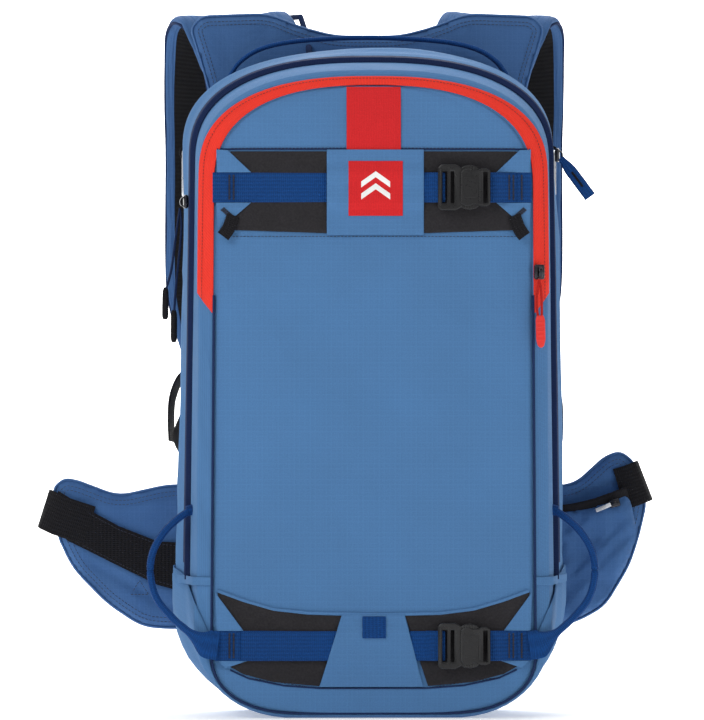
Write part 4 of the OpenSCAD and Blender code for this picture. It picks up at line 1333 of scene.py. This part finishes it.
# Shoulder straps: curved foam, ripstop outside and mesh towards the wearer,
# bound at both edges; a daisy chain of black tape runs down their middle.
route = [
    (0.092, 0.0944, 0.500), (0.096, 0.095, 0.540), (0.099, 0.1005, 0.554), (0.105, 0.110, 0.574),
    (0.116, 0.128, 0.584), (0.128, 0.154, 0.576), (0.134, 0.170, 0.550), (0.137, 0.180, 0.512),
    (0.137, 0.180, 0.470), (0.137, 0.180, 0.370), (0.136, 0.176, 0.332), (0.134, 0.170, 0.305),
]
widths = [0.080, 0.084, 0.088, 0.092, 0.094, 0.084, 0.074, 0.068, 0.066, 0.066, 0.058, 0.046]
for s, side in ((1, "right"), (-1, "left")):
    run = curve([(s * x, y, z) for x, y, z in route], 7)
    wide = curve([(w, 0, 0) for w in widths], 7)
    section = []
    for k in range(36):
        a = 2 * math.pi * k / 36
        c, d = math.cos(a), math.sin(a)
        section.append((math.copysign(abs(c) ** 0.55, c) * 0.5, math.copysign(abs(d) ** 0.8, d) * 0.0058))
    sizes = []
    for k, w in enumerate(wide):
        puff = 1 + 0.07 * noise.noise(Vector((k * 0.5, s * 4.0, 0.0)))
        sizes.append((w.x, puff))
    obj = sweep(f"shoulder_strap_{side}_cloth", run, section, ripstop_shaded, Vector((1, 0, 0)), sizes)
    obj.data.materials.append(mesh_black)
    count = len(section)
    for polygon in obj.data.polygons:
        row = polygon.vertices[0] // count
        ahead = run[min(row + 1, len(run) - 1)] - run[max(row - 1, 0)]
        inner = Vector((1, 0, 0)).cross(ahead).normalized()
        if inner.y > 0 or (abs(inner.y) < 0.2 and inner.z > 0):
            inner = -inner
        if abs(ahead.normalized().y) > 0.5:
            inner = Vector((0, 0, -1))
        share = max(abs(section[i % count][0]) for i in polygon.vertices)
        if polygon.normal.dot(inner) > 0.35 and share < 0.41:
            polygon.material_index = 1
    noise_seed = s * 7.0
    for v in obj.data.vertices:
        v.co += v.normal * noise.noise(v.co * 38 + Vector((noise_seed, 0, 0))) * 0.0009
    finish_piece(obj, "shell_fabric", "bag", f"shoulder_strap_{side}")
    edges = []
    for e in (-1, 1):
        rim = []
        for k, p in enumerate(run):
            rim.append(p + Vector((e * wide[k].x * 0.498, 0, 0)))
        edges.append(sweep("a", rim, circle(0.0014, 8), piping))
    finish_piece(join(edges, f"shoulder_binding_{side}"), "zip_tape", "bag")
    # Daisy chain of black tape on the right strap's outside, tacked every 40 mm
    if s > 0:
        chain = []
        for k in range(33):
            arch = 0.0010 * abs(math.sin(math.pi * k / 10))
            chain.append(Vector((0.137, 0.1872 + arch, 0.500 - k * 0.004)))
        finish_piece(
            sweep("strap_daisy_chain", chain, flat(0.018, 0.0012, 4), webbing_black, Vector((1, 0, 0))),
            "black_webbing", "bag",
        )

# Ladderlocks and their webbing
blocks = []
for s in (1, -1):
    y0, z0 = 0.164, 0.280
    holes = [(s * 0.137 - 0.013, s * 0.137 + 0.013, z0 + z, z0 + z + 0.004) for z in (0.005, 0.014)]
    blocks.append(
        plate(
            "a", rounded(s * 0.137 - 0.018, s * 0.137 + 0.018, z0, z0 + 0.022, 0.004), y0, y0 + 0.005, acetal,
            0.0010, holes,
        )
    )
    blocks.append(
        plate(
            "a", rounded(s * 0.137 - 0.015, s * 0.137 + 0.015, z0 - 0.0006, z0 + 0.0024, 0.0012), y0 - 0.0016,
            y0 + 0.0030, acetal, 0.0005,
        )
    )
finish_piece(join(blocks, "ladderlock_frames"), "black_plastic", "bag", "ladderlocks")
runs = []
for s in (1, -1):
    run = curve(
        [
            (s * x, y, z)
            for x, y, z in (
                (0.1385, 0.1665, 0.300), (0.140, 0.1655, 0.279), (0.141, 0.163, 0.268), (0.148, 0.152, 0.250),
                (0.155, 0.124, 0.232), (0.151, 0.098, 0.219), (0.142, 0.0834, 0.211), (0.140, 0.0816, 0.201),
            )
        ],
        6,
    )
    runs.append(sweep("a", run, flat(0.020, 0.0016, 6), webbing_black, Vector((1, 0, 0))))
    tail = curve(
        [
            (s * x, y, z)
            for x, y, z in (
                (0.138, 0.1625, 0.288), (0.147, 0.1590, 0.286), (0.158, 0.1520, 0.280), (0.1650, 0.1440, 0.264),
                (0.1665, 0.1400, 0.246), (0.1660, 0.1380, 0.226),
            )
        ],
        6,
    )
    runs.append(sweep("a", tail, flat(0.0196, 0.0016, 6), webbing_black, Vector((s * 0.25, -0.95, 0.15))))
    loop = curve(
        [
            (s * 0.1500, 0.042, 0.4660), (s * 0.1565, 0.042, 0.4670), (s * 0.1595, 0.042, 0.4715),
            (s * 0.1570, 0.042, 0.4760), (s * 0.1500, 0.042, 0.4770),
        ],
        6,
    )
    runs.append(sweep("a", loop, flat(0.0130, 0.0018, 4), webbing_black, Vector((0, 1, 0))))
finish_piece(join(runs, "harness_tapes"), "black_webbing", "bag", "harness_webbing")

# Side hooks: bent aluminium wire rings that the stowed straps hook onto
for s, side in ((1, "right"), (-1, "left")):
    ring = []
    for cy, cz, a0 in ((0.050, 0.468, 0), (0.034, 0.468, 90), (0.034, 0.440, 180), (0.050, 0.440, 270)):
        for k in range(6):
            a = math.radians(a0 + 18 * k)
            ring.append(Vector((s * 0.156, cy + 0.004 * math.cos(a), cz + 0.004 * math.sin(a))))
    ring.append(ring[0])
    ring.append(ring[1])
    finish_piece(
        sweep(f"{side}_hook_wire", ring, circle(0.0019, 12), aluminium, Vector((1, 0, 0))), "metal",
        f"{side}_hook", f"side_hook_{side}",
    )

# Sternum strap: 20 mm webbing and a small side-release buckle
tapes = []
for s in (1, -1):
    run = [
        Vector((s * (0.0140 + 0.0904 * k / 20), 0.1780 + 0.0004 * math.sin(k * 0.9), 0.430))
        for k in range(21)
    ]
    tapes.append(sweep("a", run, flat(0.020, 0.0016, 5), webbing_black, Vector((0, 0, 1))))
finish_piece(join(tapes, "sternum_tapes"), "black_webbing", "bag", "sternum_webbing")


def clip(name, box, toward, fingers, slot_at, body, node):
    """Half of a small buckle in its CAD box: a rounded block with slots and two arms."""
    (x0, y0, z0), (x1, y1, z1) = box
    length = x1 - x0
    cut = 10.5 / 13 * (z1 - z0) / 2
    middle = (z0 + z1) / 2
    holes = [(a, b, middle - cut, middle + cut) for a, b in slot_at]
    bits = [plate("a", rounded(x0, x1, z0, z1, 0.0035), y0, y1, acetal, 0.0012, holes)]
    for z in fingers:
        a, b = (x1 - 0.001, x1 + 0.015) if toward > 0 else (x0 - 0.015, x0 + 0.001)
        bits.append(
            plate(
                "a", rounded(a, b, middle + z, middle + z + 0.003, 0.0012), y0 + 0.0015, y1 - 0.0015, acetal,
                0.0005,
            )
        )
    for k in range(3):
        x = (x0 + x1) / 2 + (k - 1) * 0.0022
        bits.append(
            plate(
                "a", rounded(x, x + 0.0009, middle - cut * 0.8, middle + cut * 0.8, 0.0004, 2), y1 - 0.0002,
                y1 + 0.0005, acetal, 0.0,
            )
        )
    return finish_piece(join(bits, name), "black_plastic", body, node)


clip(
    "sternum_tongue", ((-0.026, 0.1790, 0.417), (-0.006, 0.1850, 0.443)), 1, (-0.009, 0.006),
    [(-0.023, -0.019), (-0.014, -0.010)], "sternum", "sternum_male",
)
clip(
    "sternum_socket", ((-0.0057, 0.1790, 0.417), (0.026, 0.1850, 0.443)), 0, (), [(0.018, 0.022)], "bag",
    "sternum_housing",
)

# ---- Hip belt ----
# Two padded wings of ripstop over foam, sewn in at the bag's back edge. They
# wrinkle at the root and carry the belt's black webbing.
WING_LEFT = [
    (-0.114, 0.186), (-0.167, 0.190), (-0.212, 0.180), (-0.246, 0.193), (-0.257, 0.195), (-0.266, 0.188),
    (-0.264, 0.150), (-0.250, 0.120), (-0.221, 0.090), (-0.191, 0.070), (-0.160, 0.068), (-0.114, 0.076),
]
WING_RIGHT = [
    (0.114, 0.186), (0.156, 0.187), (0.178, 0.191), (0.202, 0.213), (0.215, 0.218), (0.226, 0.210),
    (0.238, 0.178), (0.231, 0.147), (0.223, 0.122), (0.202, 0.087), (0.180, 0.075), (0.160, 0.069),
    (0.114, 0.076),
]
pad(
    "wing_left_cloth", WING_LEFT, 0.0800, 0.0926, ripstop_shaded, "shell_fabric", "left_wing", "wing_left",
    reach=0.016, wrinkle=0.0022, cell=0.004, back=mesh_black, seed=1.0,
    channels=[(-0.158, 0.180, -0.244, 0.176, 0.003, 0.003), (-0.165, 0.084, -0.232, 0.122, 0.003, 0.003)])
pad(
    "wing_right_cloth", WING_RIGHT, 0.0800, 0.0926, ripstop_shaded, "shell_fabric", "right_wing", "wing_right",
    reach=0.016, wrinkle=0.0022, cell=0.004, back=mesh_black, seed=9.0,
    channels=[(0.180, 0.180, 0.222, 0.196, 0.003, 0.003)])
binding("wing_left_binding", WING_LEFT, 0.0863, "left_wing", ripstop_shaded, 0.0013, "shell_fabric")
binding("wing_right_binding", WING_RIGHT, 0.0863, "right_wing", ripstop_shaded, 0.0013, "shell_fabric")


def wing_face(outline):
    """Front of a wing, as a height over its outline."""
    shape = soften(outline)
    return lambda x, z: 0.0863 - 0.0060 * dome(off_edge(x, z, shape), 0.016)


left_face, right_face = wing_face(WING_LEFT), wing_face(WING_RIGHT)
# The black band runs over the left wing and folds back round its tip
BAND = [
    (-0.156, 0.141), (-0.178, 0.142), (-0.211, 0.155), (-0.235, 0.168), (-0.2625, 0.185), (-0.262, 0.152),
    (-0.255, 0.143), (-0.205, 0.118), (-0.178, 0.105), (-0.156, 0.099),
]
trim(
    "belt_band_left", BAND, 0.0010, 0.0014, webbing_black, "black_webbing", "left_wing", "belt_webbing_left",
    cell=0.006, surface=left_face,
)
fold = sweep(
    "belt_fold_left",
    [
        Vector((-0.236, 0.0786, 0.1555)), Vector((-0.250, 0.0784, 0.1600)), Vector((-0.262, 0.0788, 0.1640)),
        Vector((-0.2715, 0.0810, 0.1685)), Vector((-0.2745, 0.0865, 0.1700)), Vector((-0.2715, 0.0925, 0.1685)),
        Vector((-0.262, 0.0938, 0.1645)), Vector((-0.246, 0.0938, 0.1600)),
    ],
    flat(0.034, 0.0018, 6), webbing_black, Vector((0.30, 0, 0.95)),
)
finish_piece(fold, "black_webbing", "left_wing")
tip = sweep(
    "belt_fold_right",
    [
        Vector((0.214, 0.0786, 0.1860)), Vector((0.224, 0.0784, 0.1890)), Vector((0.2330, 0.0795, 0.1925)),
        Vector((0.2362, 0.0860, 0.1935)), Vector((0.2330, 0.0925, 0.1925)), Vector((0.224, 0.0938, 0.1880)),
        Vector((0.205, 0.0938, 0.1800)),
    ],
    flat(0.036, 0.0018, 6), webbing_black, Vector((-0.36, 0, 0.93)),
)
finish_piece(tip, "black_webbing", "right_wing", "belt_webbing_right")
# Two rows of stitches run round each wing inside its edge


def inside(outline, d):
    """The outline moved inwards by a distance."""
    shape = soften(outline)
    out = []
    for k, p in enumerate(shape):
        a, b = Vector(shape[k - 2]), Vector(shape[(k + 2) % len(shape)])
        t = (b - a).normalized()
        for q in (Vector(p) + Vector((-t.y, t.x)) * d, Vector(p) - Vector((-t.y, t.x)) * d):
            if abs(off_edge(q.x, q.y, shape) - d) < d * 0.2 and within(q, shape):
                out.append((q.x, q.y))
                break
    return out + out[:1]


def within(q, shape):
    """Whether a place lies inside a shape."""
    odd = False
    for (x0, z0), (x1, z1) in zip(shape, shape[1:] + shape[:1]):
        if (z0 > q.y) != (z1 > q.y) and q.x < x0 + (x1 - x0) * (q.y - z0) / (z1 - z0):
            odd = not odd
    return odd


for body, outline, face in (("left_wing", WING_LEFT, left_face), ("right_wing", WING_RIGHT, right_face)):
    rows = []
    for d in (0.0050, 0.0085):
        rows.append([Vector((x, face(x, z) - 0.0004, z)) for x, z in inside(outline, d)])
    stitches(
        f"{body}_edge_stitches", rows, thread_dark, body, "zip_tape", length=0.0021, gap=0.0012, thick=0.00045,
    )
yoke_shape = soften(YOKE)
rows = [
    [Vector((x, 0.0842 - 0.0048 * dome(off_edge(x, z, yoke_shape), 0.010), z)) for x, z in inside(YOKE, d)]
    for d in (0.0050, 0.0080)
]
stitches("yoke_stitches", rows, thread_dark, "bag", "zip_tape", length=0.0021, gap=0.0012, thick=0.0005)
# A stitched triangle holds the left wing's layers together
triangle = [(-0.201, 0.097), (-0.186, 0.097), (-0.1935, 0.109), (-0.201, 0.097)]
stitches("wing_stitches", [
    [
        Vector((x, left_face(x, z) - 0.0006, z))
        for (x0, z0), (x1, z1) in zip(triangle, triangle[1:])
        for f in (0.0, 0.25, 0.5, 0.75)
        for x, z in ((x0 + (x1 - x0) * f, z0 + (z1 - z0) * f),)
    ],
    [
        Vector((x, left_face(x, z) - 0.0024, z))
        for x, z in ((-0.160, 0.1385), (-0.178, 0.1395), (-0.211, 0.1520), (-0.235, 0.1650), (-0.257, 0.1800))
    ],
    [
        Vector((x, left_face(x, z) - 0.0024, z))
        for x, z in ((-0.160, 0.1030), (-0.178, 0.1080), (-0.205, 0.1205), (-0.252, 0.1440))
    ],
], thread_dark, "left_wing", "zip_tape", length=0.0020, gap=0.0011, thick=0.0005)

# Hip pocket: a bellows pocket with a black zip under its top edge
POCKET = [
    (0.158, 0.166), (0.188, 0.170), (0.222, 0.184), (0.229, 0.150), (0.221, 0.124), (0.200, 0.089),
    (0.180, 0.077), (0.158, 0.072),
]
pad(
    "hip_pocket_cloth", POCKET, 0.0650, 0.0800, ripstop_shaded, "shell_fabric", "right_wing", "hip_pocket",
    reach=0.020, wrinkle=0.0028, cell=0.004, seed=5.0, fill=0.5, puff=0.0030,
    channels=[(0.165, 0.092, 0.222, 0.148, 0.004, 0.0018)])
zipper = curve(
    [
        (0.160, 0.0745, 0.1668), (0.176, 0.0725, 0.1690), (0.192, 0.0715, 0.1728), (0.206, 0.0715, 0.1775),
        (0.221, 0.0735, 0.1832),
    ],
    6,
)
finish_piece(
    sweep("pocket_zip", zipper, flat(0.0135, 0.0030, 5), tape_black, Vector((-0.2, -0.55, 0.8))), "zip_tape",
    "right_wing",
)
slider(
    "pocket_slider_body", (0.2095, 0.0650, 0.1745), (0.96, 0, 0.276), (0, -1, 0.1), 0.0090, "pocket_slider",
    "hip_pocket_slider",
)
pull = curve([(0.2060, 0.0625, 0.1735), (0.2010, 0.0612, 0.1715), (0.1935, 0.0616, 0.1685)], 5)
finish_piece(
    sweep("pocket_pull", pull, flat(0.0034, 0.0010, 3), aluminium, Vector((0, 0, 1))), "metal", "pocket_slider",
)

# Belt buckle, open: its halves lie behind the tips of the wings
low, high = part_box("belt_male")
clip(
    "belt_tongue", ((0.202, low.y, low.z), (0.224, high.y, high.z)), 0,
    (low.z + 0.003 - 0.178, 0.178 - low.z - 0.009), [(0.206, 0.211), (0.215, 0.220)], "right_wing", "belt_male",
)
low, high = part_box("belt_housing")
clip("belt_socket", (low, high), 0, (), [(-0.258, -0.253)], "left_wing", "belt_housing")

# ---- Airbag system ----
# Trigger: a red T grip below a cloth sleeve on the left shoulder strap
low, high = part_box("trigger_sleeve")
sleeve = plate(
    "trigger_sleeve_cloth", rounded(low.x, high.x, low.z, high.z, 0.005), low.y, high.y, ripstop_shaded, 0.0030,
)
finish_piece(sleeve, "shell_fabric", "bag", "trigger_sleeve")
for k, z in enumerate((low.z + 0.004, high.z - 0.004)):
    ring = [
        Vector((x, y, z))
        for x, y in (
            (low.x - 0.0002, low.y + 0.003), (low.x - 0.0002, high.y - 0.003), (low.x + 0.003, high.y + 0.0002),
            (high.x - 0.003, high.y + 0.0002), (high.x + 0.0002, high.y - 0.003),
            (high.x + 0.0002, low.y + 0.003),
        )
    ]
    finish_piece(
        sweep(f"sleeve_binding_{k}", ring, flat(0.006, 0.0008, 3), webbing_black, Vector((0, 0, 1))),
        "black_webbing", "bag",
    )
low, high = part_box("trigger_handle")
y, z0 = (low.y + high.y) / 2, low.z
grip = [
    (-0.161, z0 + 0.006), (-0.155, z0), (-0.119, z0), (-0.113, z0 + 0.006), (-0.113, z0 + 0.014),
    (-0.118, z0 + 0.019), (-0.128, z0 + 0.0237), (-0.146, z0 + 0.0237), (-0.156, z0 + 0.019),
    (-0.161, z0 + 0.014),
]
bits = [plate("a", [(x, z) for x, z in grip], low.y, high.y, rubber_red, 0.0024)]
for k in range(6):
    x = -0.1535 + k * 0.0060
    bits.append(
        plate(
            "a", rounded(x, x + 0.0025, z0 + 0.0030, z0 + 0.0150, 0.0011, 3), high.y - 0.0006, high.y + 0.0010,
            rubber_red, 0.0004,
        )
    )
bits.append(
    sweep("a", [Vector((-0.137, y, z0 + 0.022)), Vector((-0.137, y, high.z))], circle(0.0056, 20), rubber_red)
)
finish_piece(join(bits, "trigger_grip"), "red_plastic", "trigger", "trigger_handle")

# Airbag: red coated nylon, folded in pleats behind the burst zip
pleat, gap, turn = 0.0300, 0.0016, 0.0008
profile = []
for layer in range(42):
    z = 0.4425 + layer * gap
    side = 1 if layer % 2 else -1
    profile += [(0.0150 - side * pleat * f, z) for f in (1.0, 0.5, 0.0, -0.5, -1.0)]
    profile.append((0.0150 + side * (pleat + turn), z + gap / 2))
points, uvs = [], []
length = 0.0
for k, (y, z) in enumerate(profile):
    if k:
        length += math.dist(profile[k], profile[k - 1])
    reach = 0.082 + math.sqrt(max(0.0, 0.0275**2 - max(0.0, abs(z - 0.476) - 0.008) ** 2))
    for c in range(25):
        x = reach * (c / 12 - 1)
        points.append((x, y, z))
        uvs.append((x, length))
folded = build("airbag_cloth", points, grid_faces(len(profile), 25), uvs, twill_red)
finish_piece(folded, "red_fabric", "bag", "airbag")

# Inner parts keep their CAD shapes, in their own materials
for name, material in (
    ("frame_sheet", polythene), ("back_stays", aluminium), ("front_divider", ripstop), ("gas_cylinder", steel_paint),
    ("inflation_head", acetal), ("firing_lever", rubber_red), ("trigger_cable", cord_navy),
):
    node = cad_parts[name]
    node.data.materials.clear()
    node.data.materials.append(material)

# ---- Studio ----
# A floor and a lit backdrop of white paper, broad soft lights and a long lens
paper, shader = new_material("backdrop paper, white", 0.9)
grain = add(paper, "TexNoise", {"Scale": 60.0, "Detail": 2.0})
value = add(paper, "MapRange", {0: grain, 1: 0.3, 2: 0.7, 3: 0.98, 4: 1.0})
tint = add(paper, "HueSaturation", {"Value": value, "Color": linear("#f7f7f7")})
paper.node_tree.links.new(tint, shader.inputs["Base Color"])
shader.inputs["Emission Color"].default_value = (1.0, 1.0, 1.0, 1.0)
shader.inputs["Emission Strength"].default_value = 0.36
points = [(x, y, -0.0004) for y in (-18.0, 18.0) for x in (-18.0, 18.0)]
floor = build("floor", points, grid_faces(2, 2), [(p[0], p[1]) for p in points], paper)
lit, shader = new_material("lit backdrop, white", 0.9)
glow = add(lit, "TexNoise", {"Scale": 2.0, "Detail": 1.0})
glow = add(lit, "MapRange", {0: glow, 1: 0.3, 2: 0.7, 3: 0.97, 4: 1.0})
lit.node_tree.links.new(glow, shader.inputs["Emission Strength"])
shader.inputs["Emission Color"].default_value = (1.0, 1.0, 1.0, 1.0)
points = [(x, 18.0, z) for z in (-0.0004, 12.0) for x in (-18.0, 18.0)]
backdrop = build("backdrop", points, grid_faces(2, 2), [(p[0], p[2]) for p in points], lit)

for name, place, size, power in (
    ("key light", (-1.6, -2.0, 2.1), 1.3, 31.0),
    ("fill light", (1.9, -2.2, 1.0), 1.8, 7.0),
    ("top light", (0.1, 0.3, 2.4), 1.6, 17.0),
    ("back light", (0.9, 2.4, 1.8), 1.8, 9.0),
    ("paper light", (0.0, 5.0, 4.0), 5.0, 320.0),
    ("far paper light", (0.0, 13.0, 6.0), 9.0, 1400.0),
):
    bpy.ops.object.light_add(type="AREA", location=place)
    lamp = bpy.context.object
    lamp.name = name
    lamp.data.size = size
    lamp.data.energy = power
    aim = Vector((0, 0, 0.28)) if "paper" not in name else Vector((0, place[1] + 0.5, 0))
    lamp.rotation_euler = (aim - Vector(place)).to_track_quat("-Z", "Y").to_euler()

scene = bpy.context.scene
world = bpy.data.worlds.new("studio")
world.use_nodes = True
world.node_tree.nodes["Background"].inputs[0].default_value = (1.0, 1.0, 1.0, 1.0)
world.node_tree.nodes["Background"].inputs[1].default_value = 0.30
scene.world = world
scene.view_settings.view_transform = "Standard"

aim = Vector((-0.018, -0.095, 0.297))
turn, rise, away = math.radians(1.6), math.radians(0.3), 7.0
place = aim + away * Vector(
    (-math.sin(turn) * math.cos(rise), -math.cos(turn) * math.cos(rise), math.sin(rise))
)
bpy.ops.object.camera_add(location=place)
camera = bpy.context.object
camera.rotation_euler = (aim - place).to_track_quat("-Z", "Y").to_euler()
camera.data.lens = 36.0 * away / 0.597
scene.camera = camera

low, high = cad_box
